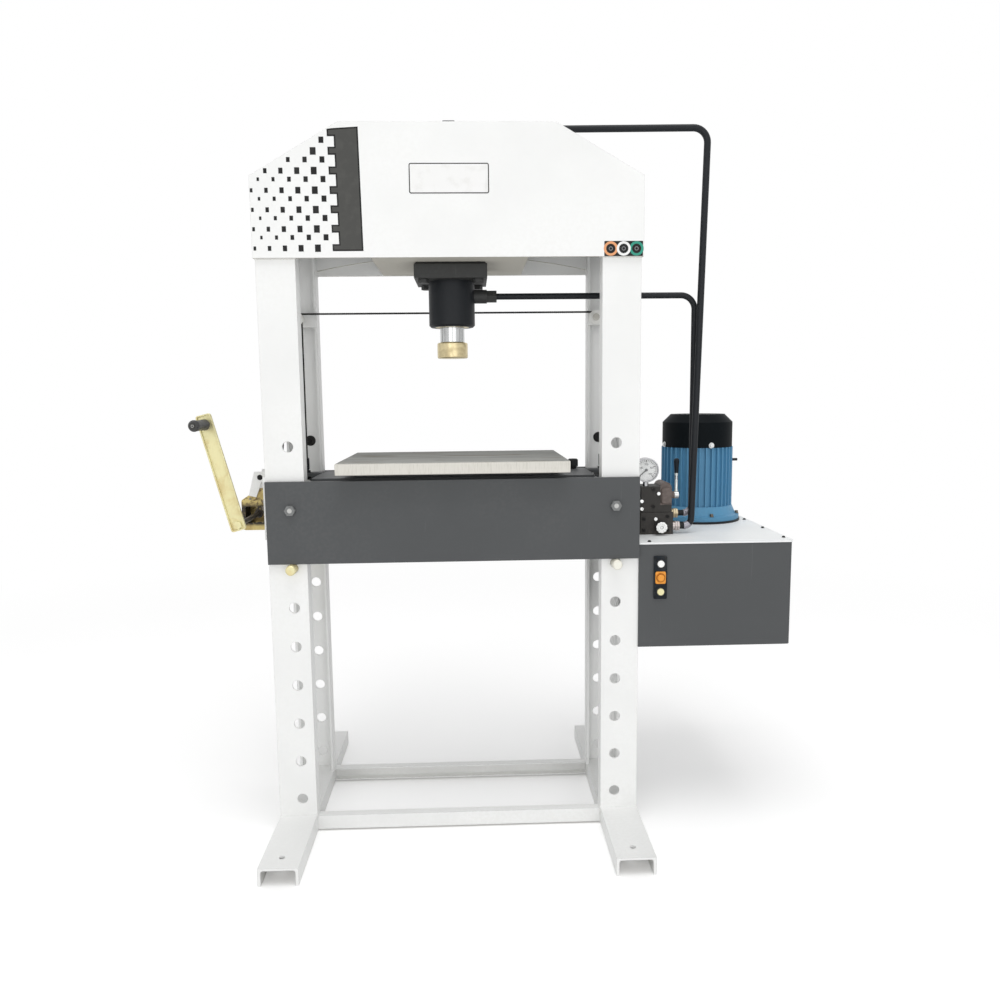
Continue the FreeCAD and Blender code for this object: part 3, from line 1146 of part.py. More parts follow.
def make_relief_knob():
    seat = relief_axis() - V(0, RELIEF_STEM + RELIEF_GAP, 0)
    r, e = RELIEF_D / 2, RELIEF_EDGE
    knob = revolve([(0, 0), (r - e / 2, 0), (r, e / 2), (r, RELIEF_LENGTH - e),
                    (r - e, RELIEF_LENGTH), (0, RELIEF_LENGTH)], seat, V(0, -1, 0))
    save("relief_knob", knob)


def make_gauge():
    r = GAUGE_D / 2
    inner = r - GAUGE_RIM
    overlap = GAUGE_RIM
    centre = V(GAUGE_X, VALVE_FRONT + GAUGE_SET_BACK, VALVE_TOP + GAUGE_STEM + r)
    back = centre + V(0, GAUGE_DEPTH / 2, 0)
    well = GAUGE_DEPTH - GAUGE_WELL
    case = revolve([(0, 0), (r - GAUGE_BACK_R, 0), (r, GAUGE_BACK_R), (r, GAUGE_DEPTH),
                    (inner, GAUGE_DEPTH), (inner, well), (0, well)], back, V(0, -1, 0))
    stem = hexagon(GAUGE_STEM_ACROSS, V(centre.x, centre.y, VALVE_TOP),
                   V(centre.x, centre.y, VALVE_TOP + GAUGE_STEM + overlap))
    dial = back - V(0, well, 0)
    needle_end = NEEDLE_GAP + NEEDLE_HUB_T
    pin = rod(NEEDLE_PIN_D, dial + V(0, 1, 0), dial - V(0, needle_end, 0))
    save("gauge_case", fuse(case, stem, pin))

    hub = rod(NEEDLE_HUB_D, V(0, -NEEDLE_GAP, 0), V(0, -needle_end, 0))
    pointer_y = -(NEEDLE_GAP + NEEDLE_HUB_T / 2)
    outline = [(0, -NEEDLE_HALF), (NEEDLE_LENGTH, -NEEDLE_TIP_HALF),
               (NEEDLE_LENGTH, NEEDLE_TIP_HALF), (0, NEEDLE_HALF)]
    pointer = plate_xz(outline, pointer_y - NEEDLE_T / 2, pointer_y + NEEDLE_T / 2)
    bore = rod(NEEDLE_PIN_D + 2 * NEEDLE_FIT, V(0, 0, 0), V(0, -needle_end - 1, 0))
    needle = turned(fuse(hub, pointer).cut(bore), Y_AXIS, 180 - NEEDLE_REST)
    save("gauge_needle", shifted(needle, dial.x, dial.y, dial.z))


def make_station():
    front = TANK_FRONT - STATION_T
    x0, x1 = STATION_X - STATION_WIDTH / 2, STATION_X + STATION_WIDTH / 2
    plate = box(x0, x1, front, TANK_FRONT, STATION_TOP - STATION_HEIGHT, STATION_TOP)
    plate = plate.makeFillet(STATION_CORNER_R, edges_along(plate, Y_AXIS))
    hole_d, r, e = BUTTON_D + 2 * BUTTON_FIT, BUTTON_D / 2, BUTTON_EDGE
    length = BUTTON_SEAT + BUTTON_PROUD
    bezels = []
    for k, name in enumerate(("button_top", "button_middle", "button_bottom")):
        z = STATION_TOP - STATION_HEIGHT / 2 + (1 - k) * BUTTON_PITCH
        seat = V(STATION_X, front, z)
        hole = rod(hole_d, seat + V(0, STATION_T, 0), seat - V(0, BEZEL_T + 1, 0))
        plate = plate.cut(hole)
        bezels.append(rod(BEZEL_D, seat, seat - V(0, BEZEL_T, 0)).cut(hole))
        cap = revolve([(0, 0), (r, 0), (r, length - e), (r - e, length), (0, length)],
                      seat + V(0, BUTTON_SEAT, 0), V(0, -1, 0))
        save(name, cap)
    save("button_station", plate)
    save("button_bezels", *bezels)


os.makedirs("parts", exist_ok=True)
make_frame()
make_head()
make_cylinder()
make_ram()
make_pipes()
make_lift()
make_winch_frame()
make_winch_moving()
make_bed()
make_support_pins()
make_tank()
make_motor()
make_valve()
make_lever()
make_relief_knob()
make_gauge()
make_station()
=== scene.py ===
import bpy
import bmesh
import math
from mathutils import Matrix, Vector


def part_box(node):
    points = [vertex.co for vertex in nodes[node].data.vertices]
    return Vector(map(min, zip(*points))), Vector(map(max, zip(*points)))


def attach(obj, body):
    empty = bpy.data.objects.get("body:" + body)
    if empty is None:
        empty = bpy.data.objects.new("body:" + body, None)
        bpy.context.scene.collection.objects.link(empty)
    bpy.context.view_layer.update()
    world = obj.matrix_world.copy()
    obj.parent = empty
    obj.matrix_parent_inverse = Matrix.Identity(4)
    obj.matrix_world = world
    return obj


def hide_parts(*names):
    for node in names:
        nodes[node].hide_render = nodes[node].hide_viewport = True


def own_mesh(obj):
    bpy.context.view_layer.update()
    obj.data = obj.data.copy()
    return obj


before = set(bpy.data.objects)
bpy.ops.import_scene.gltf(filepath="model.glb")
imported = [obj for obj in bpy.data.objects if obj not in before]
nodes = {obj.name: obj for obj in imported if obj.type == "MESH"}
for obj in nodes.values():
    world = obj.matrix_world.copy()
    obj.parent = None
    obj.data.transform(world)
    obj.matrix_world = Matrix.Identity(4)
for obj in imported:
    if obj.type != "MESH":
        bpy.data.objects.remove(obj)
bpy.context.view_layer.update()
print("frame loaded:", len(nodes), "nodes")

# camera, fitted to the straight edges of the frame and the rows of holes
cameraSizes = {
    "place": (0.055565, -2.790379, 1.416890),
    "pitch": 0.125257,      # down
    "yaw": 0.0342365,       # to the right
    "roll": -0.0111278,
    "lens": 29.905, "film": 36, "farthest": 60,
}


def addObject(name, data):              # in the scene's own collection
    made = bpy.data.objects.new(name, data)
    bpy.context.scene.collection.objects.link(made)
    return made


def addCamera(sizes):
    pitch, yaw, roll = sizes["pitch"], sizes["yaw"], sizes["roll"]
    ahead = Vector((math.sin(yaw) * math.cos(pitch), math.cos(yaw) * math.cos(pitch), -math.sin(pitch)))
    level = Vector((math.cos(yaw), -math.sin(yaw), 0))
    upward = level.cross(ahead)
    right = level * math.cos(roll) + upward * math.sin(roll)
    up = upward * math.cos(roll) - level * math.sin(roll)
    data = bpy.data.cameras.new("camera")
    data.sensor_width = sizes["film"]
    data.lens = sizes["lens"]
    data.clip_end = sizes["farthest"]
    camera = addObject("camera", data)
    turn = Matrix((right, up, -ahead)).transposed().to_4x4()
    camera.matrix_world = Matrix.Translation(sizes["place"]) @ turn
    bpy.context.scene.camera = camera


addCamera(cameraSizes)
print("camera placed")


# one output socket of a node tree: sums, products and comparisons add Math nodes
class Wire:
    def __init__(self, tree, socket):
        self.tree = tree
        self.socket = socket

    def maths(self, operation, *values):
        return self.tree.add("ShaderNodeMath", dict(enumerate(values)), operation=operation)

    def __add__(self, other):
        return self.maths("ADD", self, other)

    def __sub__(self, other):
        return self.maths("SUBTRACT", self, other)

    def __rsub__(self, other):
        return self.maths("SUBTRACT", other, self)

    def __mul__(self, other):
        return self.maths("MULTIPLY", self, other)

    def __truediv__(self, other):
        return self.maths("DIVIDE", self, other)

    def __mod__(self, other):
        return self.maths("FLOORED_MODULO", self, other)

    def __lt__(self, other):
        return self.maths("LESS_THAN", self, other)

    def __gt__(self, other):
        return self.maths("GREATER_THAN", self, other)

    __radd__ = __add__
    __rmul__ = __mul__

    def floor(self):
        return self.maths("FLOOR", self)

    def least(self, other):
        return self.maths("MINIMUM", self, other)

    def size(self):
        return self.maths("ABSOLUTE", self)

    def ramp(self, low, high):          # 0 below low, 1 above high, smooth between
        return self.tree.add("ShaderNodeMapRange", {"Value": self, "From Min": low, "From Max": high},
                             interpolation_type="SMOOTHSTEP")


class Tree:
    def __init__(self, nodeTree):
        self.nodeTree = nodeTree

    def add(self, kind, sockets=None, out=0, **settings):
        node = self.nodeTree.nodes.new(kind)
        for key, value in settings.items():
            setattr(node, key, value)
        for key, value in (sockets or {}).items():
            for item in value if isinstance(value, list) else [value]:
                if isinstance(item, Wire):
                    self.nodeTree.links.new(item.socket, node.inputs[key])
                elif isinstance(item, tuple) and node.inputs[key].type == "RGBA":
                    node.inputs[key].default_value = (*item, 1)
                else:
                    node.inputs[key].default_value = item
        return Wire(self, node.outputs[out])

    def vector(self, x, y, z):
        return self.add("ShaderNodeCombineXYZ", {0: x, 1: y, 2: z})


class Finish(Tree):
    def __init__(self, name):
        self.material = bpy.data.materials.new(name)
        self.material.use_nodes = True
        super().__init__(self.material.node_tree)
        self.shader = self.nodeTree.nodes["Principled BSDF"]
        self.place = self.add("ShaderNodeTexCoord", out="Object")

    def along(self, axis):              # one coordinate of the place, in metres
        return self.add("ShaderNodeSeparateXYZ", {0: self.place}, out=axis)

    def noise(self, size, detail=3.0, stretch=(1, 1, 1), distortion=0.0):
        place = self.place
        if stretch != (1, 1, 1):
            place = self.add("ShaderNodeMapping", {"Vector": place, "Scale": stretch})
        sockets = {"Vector": place, "Scale": 1 / size, "Detail": detail, "Distortion": distortion}
        return self.add("ShaderNodeTexNoise", sockets)

    def mix(self, amount, low, high):   # colours
        return self.add("ShaderNodeMix", {0: amount, 6: low, 7: high}, out=2, data_type="RGBA")

    def edges(self, radius):            # 0 on flats, about 1 on a square edge
        self.rounded = self.add("ShaderNodeBevel", {"Radius": radius}, samples=6)
        face = self.add("ShaderNodeNewGeometry", out="Normal")
        facing = self.add("ShaderNodeVectorMath", {0: self.rounded, 1: face}, out="Value", operation="DOT_PRODUCT")
        return (1 - facing) * 3.4

    def facing(self, axis):             # the face's own direction along an axis, -1 to 1
        normal = self.add("ShaderNodeNewGeometry", out="Normal")
        return self.add("ShaderNodeSeparateXYZ", {0: normal}, out=axis)

    def away(self, first, second):      # distance from an axis, by the two steps across it
        across = self.vector(first, second, 0.0)
        return self.add("ShaderNodeVectorMath", {0: across}, out="Value", operation="LENGTH")

    def relief(self, height, distance, strength):
        sockets = {"Height": height, "Distance": distance, "Strength": strength}
        if hasattr(self, "rounded"):
            sockets["Normal"] = self.rounded
        return self.add("ShaderNodeBump", sockets)

    def surface(self, **sockets):       # names as on the shader, with _ for a space
        for key, value in sockets.items():
            socket = self.shader.inputs[key.replace("_", " ")]
            if isinstance(value, Wire):
                self.nodeTree.links.new(value.socket, socket)
            else:
                socket.default_value = value
        return self.material


def shade(colour, factor):
    return tuple(min(1.0, channel * factor) for channel in colour)


# areas of a node that look unlike the rest, each by its place or by where its faces look; the valve's lighter patch
# among them is painted light
motor = {"x": 0.904, "y": 0.305, "cowlScrewRadius": 0.1271, "screwLevel": 1.2290, "screwTurn": -81.5,
         "flangeBoltRadius": 0.1495, "flangeLevel": 0.9722, "flangeTurn": -83.0, "finRadius": 0.1312, "studOver": 1.10}
gears = {"band": (0.984, 0.997, 1.052, 1.072), "over": (1.05, 1.06), "cleaner": (0.085, 0.108)}
crank = {"armBack": -0.2350, "studEnd": -0.3605, "studAt": (-0.74392, 1.33874), "ring": (0.0028, 0.0042)}
spool = {"rightOf": 0.689, "over": 1.0455}
nuts = {"silverUnder": 0.992, "pitch": 0.0085, "groove": 0.0014}
middleBezel = (0.812, 0.852)


def above(axis, level):                 # 1 where the coordinate is over the level
    return lambda finish: finish.along(axis) > level


def below(axis, level):
    return lambda finish: 1 - above(axis, level)(finish)


def motorStud(finish):                  # outside the fins
    outside = finish.away(finish.along("X") - motor["x"], finish.along("Y") - motor["y"]) > motor["finRadius"]
    return outside * above("Z", motor["studOver"])(finish)


# painted light: a lighter patch on the valve's upper right, where its rounded spool housing catches the light
def litSpoolPatch(finish):
    inside = above("X", spool["rightOf"])(finish) * above("Z", spool["over"])(finish)
    return inside * (0.75 + finish.noise(0.012, 3.0).ramp(0.4, 0.6) * 0.25)


def gearSide(finish):                   # strongest at the frame's front, where the gears are, and weaker towards its back
    return 1 - finish.along("Y").ramp(*gears["cleaner"]) * 0.80


def darkBandAtGears(finish):              # darker band at the gears' height
    level = finish.along("Z")
    low, lowFull, highFull, high = gears["band"]
    band = level.ramp(low, lowFull) * (1 - level.ramp(highFull, high)) * gearSide(finish)
    return (band * (0.70 + finish.noise(0.010, 4.0).ramp(0.35, 0.5) * 0.30)).least(1.0)


# dark brown patches over the gears' height
def darkPatchesOverGears(finish):
    darkPatches = finish.noise(0.012, 4.0, distortion=1.0).ramp(0.50, 0.62) * gearSide(finish)
    return finish.along("Z").ramp(*gears["over"]) * darkPatches * 0.85


def studRing(finish):
    x, z = crank["studAt"]
    low, high = crank["ring"]
    ring = finish.away(finish.along("X") - x, finish.along("Z") - z)
    return below("Y", crank["studEnd"])(finish) * (ring > low) * (ring < high)


# painted shade: dark lines every pitch along X, standing in for the shade in the nuts' grooves
def nutGrooves(finish):
    return (finish.along("X") % nuts["pitch"] < nuts["groove"]) * 0.8


def bezelBand(finish):
    return above("Z", middleBezel[0])(finish) * below("Z", middleBezel[1])(finish)


def knobFace(finish):                   # looks to the front
    return (0 - finish.facing("Y")).ramp(0.45, 0.75)


def dressed(finish, sizes, tint):
    for where, colour in sizes.get("areas", ()):
        tint = finish.mix(where(finish), tint, colour)
    return tint


# paints: sprayed film with a faint orange peel, dust, fine scratches and worn edges, and, where under is set, painted
# shade in the dust colour on what looks down
usualPaint = {"wear": 0.42, "edge": 0.0012, "rough": 0.42, "gloss": 0.30, "peel": 0.16, "scratch": 0.18,
              "floorDirt": 0.0, "under": 0.0}
paints = {
    # white paint's under puts painted shade on every face that looks down
    "whitePaint": {"colour": (0.885, 0.89, 0.88), "dust": (0.52, 0.50, 0.44), "dusty": 0.05,
                   "worn": (0.42, 0.42, 0.40), "edge": 0.0022, "rough": 0.40, "gloss": 0.45, "peel": 0.07,
                   "scratch": 0.05, "scratchColour": (0.66, 0.65, 0.62), "floorDirt": 0.04, "under": 0.95},
    "greyPaint": {"colour": (0.086, 0.090, 0.093), "dust": (0.15, 0.15, 0.15), "dusty": 0.16,
                  "worn": (0.30, 0.31, 0.31), "edge": 0.0018, "rough": 0.46, "gloss": 0.22, "scratch": 0.22,
                  "scratchColour": (0.16, 0.17, 0.17)},
    "blackPaint": {"colour": (0.013, 0.015, 0.018), "dust": (0.04, 0.04, 0.04), "dusty": 0.22,
                   "worn": (0.15, 0.15, 0.15), "wear": 0.35, "gloss": 0.20, "scratchColour": (0.07, 0.07, 0.07)},
    "blockPaint": {"colour": (0.034, 0.035, 0.034), "dust": (0.08, 0.08, 0.075), "dusty": 0.25,
                   "worn": (0.17, 0.17, 0.16), "wear": 0.40, "edge": 0.0014, "rough": 0.48, "peel": 0.20,
                   "scratch": 0.20, "scratchColour": (0.09, 0.09, 0.09)},
    "cowlPaint": {"colour": (0.0040, 0.0060, 0.0075), "dust": (0.022, 0.024, 0.026), "dusty": 0.18,
                  "worn": (0.07, 0.07, 0.07), "wear": 0.25, "rough": 0.48, "gloss": 0.06, "peel": 0.14,
                  "scratch": 0.14, "scratchColour": (0.035, 0.037, 0.040)},
    "valveCast": {"colour": (0.036, 0.033, 0.030), "dust": (0.115, 0.098, 0.085), "dusty": 0.62,
                  "worn": (0.16, 0.15, 0.14), "wear": 0.34, "edge": 0.0014, "rough": 0.52, "peel": 0.85,
                  "scratch": 0.10, "scratchColour": (0.10, 0.09, 0.08),
                  "areas": ((litSpoolPatch, (0.150, 0.120, 0.108)),)},
    "lidPaint": {"colour": (0.895, 0.91, 0.91), "dust": (0.58, 0.57, 0.54), "dusty": 0.12, "worn": (0.45, 0.46, 0.46),
                 "wear": 0.30, "edge": 0.0014, "rough": 0.44, "gloss": 0.35, "peel": 0.12,
                 "scratchColour": (0.56, 0.56, 0.54)},
    "motorPaint": {"colour": (0.098, 0.285, 0.465), "dust": (0.15, 0.22, 0.27), "dusty": 0.20,
                   "worn": (0.20, 0.42, 0.58), "peel": 0.24, "scratchColour": (0.16, 0.32, 0.43),
                   "areas": ((motorStud, (0.012, 0.012, 0.014)),)},
}


def paint(name, sizes):
    finish = Finish(name)
    sharp = finish.edges(sizes["edge"])
    patches = finish.noise(0.32, 4.0)
    specks = finish.noise(0.011, 3.0)
    scratches = finish.noise(0.010, 2.0, stretch=(1.0, 1.0, 0.05), distortion=0.6)
    tint = finish.mix(patches.ramp(0.35, 0.68), shade(sizes["colour"], 0.965), shade(sizes["colour"], 1.02))
    tint = dressed(finish, sizes, tint)
    dust = (patches.ramp(0.42, 0.75) * specks.ramp(0.38, 0.66)) * sizes["dusty"]
    if sizes["floorDirt"]:
        low = 1 - finish.along("Z").ramp(0.015, 0.16)
        dust = dust + low * specks.ramp(0.30, 0.62) * sizes["floorDirt"]
    if sizes["under"]:                  # painted shade, in the dust colour, on what looks down
        dust = dust + (0 - finish.facing("Z")).ramp(0.4, 0.95) * sizes["under"]
    # dust and the painted shade both turn the paint towards the dust colour
    tint = finish.mix(dust, tint, sizes["dust"])
    tint = finish.mix(scratches.ramp(0.71, 0.78) * sizes["scratch"], tint, sizes["scratchColour"])
    worn = sharp.ramp(0.30, 0.85) * (0.45 + specks.ramp(0.34, 0.60) * 0.55) * sizes["wear"]
    tint = finish.mix(worn, tint, sizes["worn"])
    peel = finish.noise(0.0035, 2.0)
    rough = sizes["rough"] + dust * 0.4 + peel * 0.05
    return finish.surface(Base_Color=tint, Roughness=rough, Specular_IOR_Level=sizes["gloss"],
                          Normal=finish.relief(peel + patches * 4.0, 0.00025, sizes["peel"]))


# bare metals: base colour, tint of its patches, lathe or mill lines
usualMetal = {"patchy": 0.60, "metal": 0.45, "rough": 0.38, "lines": (0.005, (1, 1, 0.3)), "lineDepth": 0.08,
              "edge": 0.0010}
metals = {
    "machinedSteel": {"colour": (0.60, 0.59, 0.55), "patch": (0.36, 0.35, 0.30), "patchy": 0.55, "metal": 0.75,
                      "rough": 0.40, "lines": (0.0016, (0.04, 1, 1)), "lineDepth": 0.20, "edge": 0.0012},
    "chromeRod": {"colour": (0.53, 0.54, 0.54), "patch": (0.46, 0.46, 0.45), "patchy": 0.25, "metal": 1.0,
                  "rough": 0.13, "lines": (0.0011, (0.06, 0.06, 1)), "lineDepth": 0.05, "edge": 0.0006},
    "bronze": {"colour": (0.76, 0.65, 0.39), "patch": (0.34, 0.26, 0.13), "metal": 0.62, "rough": 0.28,
               "lines": (0.0013, (0.08, 0.08, 1)), "lineDepth": 0.16},
    "zinc": {"colour": (0.76, 0.71, 0.42), "patch": (0.70, 0.56, 0.26)},
    "winchBrass": {"colour": (0.56, 0.45, 0.18), "patch": (0.30, 0.19, 0.06), "patchy": 0.75, "rough": 0.42,
                   "lineDepth": 0.10, "edge": 0.0012,
                   "areas": ((darkBandAtGears, (0.022, 0.018, 0.016)), (darkPatchesOverGears, (0.10, 0.065, 0.035)))},
    "crankBrass": {"colour": (0.70, 0.65, 0.37), "patch": (0.60, 0.47, 0.21),
                   "areas": ((above("Y", crank["armBack"]), (0.045, 0.040, 0.036)),
                             (below("Y", crank["studEnd"]), (0.05, 0.05, 0.05)), (studRing, (0.34, 0.34, 0.33)))},
    "fittings": {"colour": (0.74, 0.66, 0.46), "patch": (0.50, 0.36, 0.20), "patchy": 0.55, "metal": 0.55,
                 "rough": 0.32, "lines": (0.002, (1, 1, 1)), "lineDepth": 0.20,
                 "areas": ((below("Z", nuts["silverUnder"]), (0.56, 0.50, 0.48)), (nutGrooves, (0.05, 0.04, 0.035)))},
    "pipeCollar": {"colour": (0.34, 0.33, 0.37), "patch": (0.20, 0.19, 0.22), "patchy": 0.5, "metal": 0.50,
                   "rough": 0.34, "lines": (0.002, (1, 1, 1)), "lineDepth": 0.10, "edge": 0.0008},
    "leverSteel": {"colour": (0.74, 0.78, 0.76), "patch": (0.46, 0.52, 0.52), "patchy": 0.45, "metal": 0.55,
                   "rough": 0.30, "lines": (0.002, (1, 1, 0.2)), "edge": 0.0008},
    "winchSteel": {"colour": (0.26, 0.23, 0.19), "patch": (0.07, 0.055, 0.04), "patchy": 0.75, "metal": 0.80,
                   "rough": 0.42, "lines": (0.0015, (1, 0.1, 1)), "lineDepth": 0.22, "edge": 0.0006},
    "pinSteel": {"colour": (0.80, 0.79, 0.71), "patch": (0.66, 0.62, 0.50), "patchy": 0.50, "metal": 0.35,
                 "rough": 0.40},
    "gaugeMetal": {"colour": (0.30, 0.30, 0.31), "patch": (0.16, 0.16, 0.16), "patchy": 0.35, "metal": 1.0,
                   "rough": 0.20, "lines": (0.0020, (1, 0.1, 1)), "lineDepth": 0.04, "edge": 0.0008},
    "brightScrew": {"colour": (0.76, 0.77, 0.77), "patch": (0.52, 0.51, 0.47), "patchy": 0.35, "metal": 0.85,
                    "rough": 0.26, "lines": (0.0008, (1, 1, 1)), "lineDepth": 0.06, "edge": 0.0003},
    "wireRope": {"colour": (0.012, 0.012, 0.011), "patch": (0.006, 0.006, 0.005), "patchy": 0.75, "metal": 0.05,
                 "rough": 0.55, "lines": (0.0022, (1, 1, 0.6)), "lineDepth": 0.60, "edge": 0.0004},
}


def metal(name, sizes):
    finish = Finish(name)
    sharp = finish.edges(sizes["edge"])
    patches = finish.noise(0.045, 5.0, distortion=0.8)
    size, stretch = sizes["lines"]
    lines = finish.noise(size, 2.0, stretch=stretch)
    tint = finish.mix(patches.ramp(0.40, 0.66) * sizes["patchy"], sizes["colour"], sizes["patch"])
    tint = finish.mix(lines.ramp(0.35, 0.70) * 0.22, tint, shade(sizes["colour"], 1.12))
    tint = dressed(finish, sizes, tint)
    tint = finish.mix(sharp.ramp(0.35, 0.9) * 0.5, tint, shade(sizes["colour"], 1.25))
    rough = sizes["rough"] + patches.ramp(0.45, 0.75) * 0.14 + lines * 0.06
    return finish.surface(Base_Color=tint, Metallic=sizes["metal"], Roughness=rough,
                          Normal=finish.relief(lines, 0.0004, sizes["lineDepth"]))


# moulded plastics, rubber, paper and vinyl film
usualPlastic = {"grimy": 0.20, "rough": 0.34}
plastics = {
    "nylon": {"colour": (0.84, 0.84, 0.81), "grime": (0.36, 0.34, 0.30), "grimy": 0.30, "rough": 0.42},
    "blackPlastic": {"colour": (0.006, 0.010, 0.015), "grime": (0.12, 0.12, 0.115), "grimy": 0.25, "rough": 0.36},
    "gripRubber": {"colour": (0.060, 0.060, 0.060), "grime": (0.15, 0.15, 0.145), "grimy": 0.35, "rough": 0.40},
    "knobPlastic": {"colour": (0.94, 0.945, 0.93), "grime": (0.62, 0.61, 0.57), "grimy": 0.10, "rough": 0.32},
    "reliefPlastic": {"colour": (0.020, 0.020, 0.020), "grime": (0.10, 0.10, 0.095),
                      "areas": ((knobFace, (0.94, 0.945, 0.93)),)},
    "bezels": {"colour": (0.032, 0.033, 0.035), "grime": (0.11, 0.11, 0.10), "rough": 0.33,
               "areas": ((bezelBand, (0.46, 0.17, 0.02)),)},
    "buttonOrange": {"colour": (0.83, 0.32, 0.030), "grime": (0.50, 0.22, 0.05), "grimy": 0.18, "rough": 0.30},
    "buttonYellow": {"colour": (0.86, 0.80, 0.46), "grime": (0.55, 0.50, 0.28), "rough": 0.30},
    "needleBlack": {"colour": (0.020, 0.020, 0.020), "grime": (0.06, 0.06, 0.06), "grimy": 0.10, "rough": 0.45},
    "dialPaper": {"colour": (0.94, 0.94, 0.93), "grime": (0.72, 0.70, 0.64), "grimy": 0.15, "rough": 0.60},
    "vinylBlack": {"colour": (0.070, 0.070, 0.066), "grime": (0.13, 0.13, 0.12)},
    "vinylEdge": {"colour": (0.012, 0.012, 0.012), "grime": (0.09, 0.09, 0.09)},
    "vinylWhite": {"colour": (0.88, 0.88, 0.87), "grime": (0.60, 0.59, 0.55)},
    "vinylOrange": {"colour": (0.80, 0.36, 0.16), "grime": (0.50, 0.28, 0.16)},
    "vinylGreen": {"colour": (0.020, 0.30, 0.21), "grime": (0.10, 0.30, 0.24)},
    "vinylGrey": {"colour": (0.22, 0.22, 0.23), "grime": (0.10, 0.10, 0.10), "grimy": 0.40},
    "darkBolt": {"colour": (0.012, 0.012, 0.012), "grime": (0.07, 0.065, 0.06), "grimy": 0.50, "rough": 0.44},
}


def plastic(name, sizes):
    finish = Finish(name)
    gloss = 0.18 if max(sizes["colour"]) < 0.1 else 0.40
    sharp = finish.edges(0.0006)
    patches = finish.noise(0.030, 4.0)
    grain = finish.noise(0.0011, 2.0)
    tint = finish.mix(patches.ramp(0.45, 0.72) * sizes["grimy"], sizes["colour"], sizes["grime"])
    tint = dressed(finish, sizes, finish.mix(sharp.ramp(0.4, 0.9) * 0.12, tint, sizes["grime"]))
    rough = sizes["rough"] + patches.ramp(0.4, 0.7) * 0.12 + grain * 0.05
    return finish.surface(Base_Color=tint, Roughness=rough, Specular_IOR_Level=gloss,
                          Normal=finish.relief(grain, 0.0002, 0.12))


def glass(name):                        # thin clear lens with a faint smear
    finish = Finish(name)
    smear = finish.noise(0.018, 3.0)
    tint = finish.mix(smear, (0.86, 0.90, 0.92), (0.95, 0.97, 0.98))
    return finish.surface(Base_Color=tint, Alpha=smear * 0.10 + 0.04, Roughness=smear.ramp(0.5, 0.8) * 0.06 + 0.04,
                          Normal=finish.relief(smear, 0.0002, 0.02))


# the table: flat faces painted dark as a painted reflection, with long streaks and stains; bright cut edges
table = {"skin": (0.262, 0.267, 0.254), "streak": (0.40, 0.40, 0.38), "stain": (0.19, 0.170, 0.130),
         "cut": (0.71, 0.69, 0.635), "cutLine": (0.55, 0.53, 0.47), "rough": 0.66}


def tableFinish(name, sizes):
    finish = Finish(name)
    sharp = finish.edges(0.0016)
    streaks = finish.noise(0.012, 4.0, stretch=(0.05, 1, 1))
    stains = finish.noise(0.11, 5.0, stretch=(0.45, 1, 1), distortion=0.7)
    saw = finish.noise(0.0016, 2.0, stretch=(1, 1, 0.06))
    skin = finish.mix(streaks.ramp(0.38, 0.66), sizes["skin"], sizes["streak"])
    skin = finish.mix(stains.ramp(0.50, 0.72) * 0.7, skin, sizes["stain"])
    cut = finish.mix(saw.ramp(0.45, 0.75) * 0.6, sizes["cut"], sizes["cutLine"])
    # faces that look up or down take the dark tone, a painted reflection; the sides take the bright cut tone
    flat = finish.facing("Z").size().ramp(0.55, 0.95)
    tint = finish.mix(flat, cut, skin)
    tint = finish.mix(sharp.ramp(0.35, 0.9) * 0.6, tint, sizes["cut"])
    return finish.surface(Base_Color=tint, Roughness=sizes["rough"] + stains * 0.12, Specular_IOR_Level=0.16,
                          Normal=finish.relief(streaks + saw * 0.5, 0.0003, 0.12))


# bolts of the bed: painted heads with a bare middle, and the black stop beside the table
bolts = {"paint": (0.20, 0.205, 0.205), "bare": (0.60, 0.60, 0.58), "black": (0.016, 0.017, 0.018),
         "worn": (0.30, 0.30, 0.29), "bareRadius": 0.0075, "at": (0.510, 1.0683), "stopAbove": 1.159}


def boltFinish(name, sizes):
    finish = Finish(name)
    sharp = finish.edges(0.0012)
    grime = finish.noise(0.006, 4.0)
    x, z = sizes["at"]
    across = finish.away(finish.along("X").size() - x, finish.along("Z") - z)
    bare = 1 - across.ramp(sizes["bareRadius"] * 0.85, sizes["bareRadius"] * 1.1)
    tint = finish.mix(grime.ramp(0.4, 0.7) * 0.4, sizes["paint"], shade(sizes["paint"], 0.55))
    tint = finish.mix(bare * (0.6 + grime * 0.4), tint, sizes["bare"])
    tint = finish.mix(finish.along("Z").ramp(sizes["stopAbove"], sizes["stopAbove"] + 0.0005), tint, sizes["black"])
    tint = finish.mix(sharp.ramp(0.4, 0.9) * 0.25, tint, sizes["worn"])
    return finish.surface(Base_Color=tint, Roughness=0.42 + grime * 0.15, Specular_IOR_Level=0.3,
                          Normal=finish.relief(grime, 0.0003, 0.15))


finishes = {}
for make, usual, kinds in ((paint, usualPaint, paints), (metal, usualMetal, metals), (plastic, usualPlastic, plastics)):
    finishes.update({name: make(name, {**usual, **sizes}) for name, sizes in kinds.items()})
finishes["gaugeGlass"] = glass("gaugeGlass")
finishes["tableSteel"] = tableFinish("tableSteel", table)
finishes["boltPaint"] = boltFinish("boltPaint", bolts)

ownFinishes = {                         # nodes that look unlike the rest of their slot
    "motor_cowl": "cowlPaint", "flange_block": "blockPaint", "flange_bolts": "blockPaint",
    "cylinder_port": "blockPaint", "valve_body": "valveCast", "valve_manifold": "valveCast",
    "valve_fittings": "fittings", "table_plate": "tableSteel", "bed_bolts": "boltPaint",
    "support_pin_right": "pinSteel", "winch_frame": "winchBrass", "winch_crank": "crankBrass",
    "winch_knob": "gripRubber", "button_bezels": "bezels",
}


def camelName(words):
    first, *others = words.split("_")
    return first + "".join(word.capitalize() for word in others)


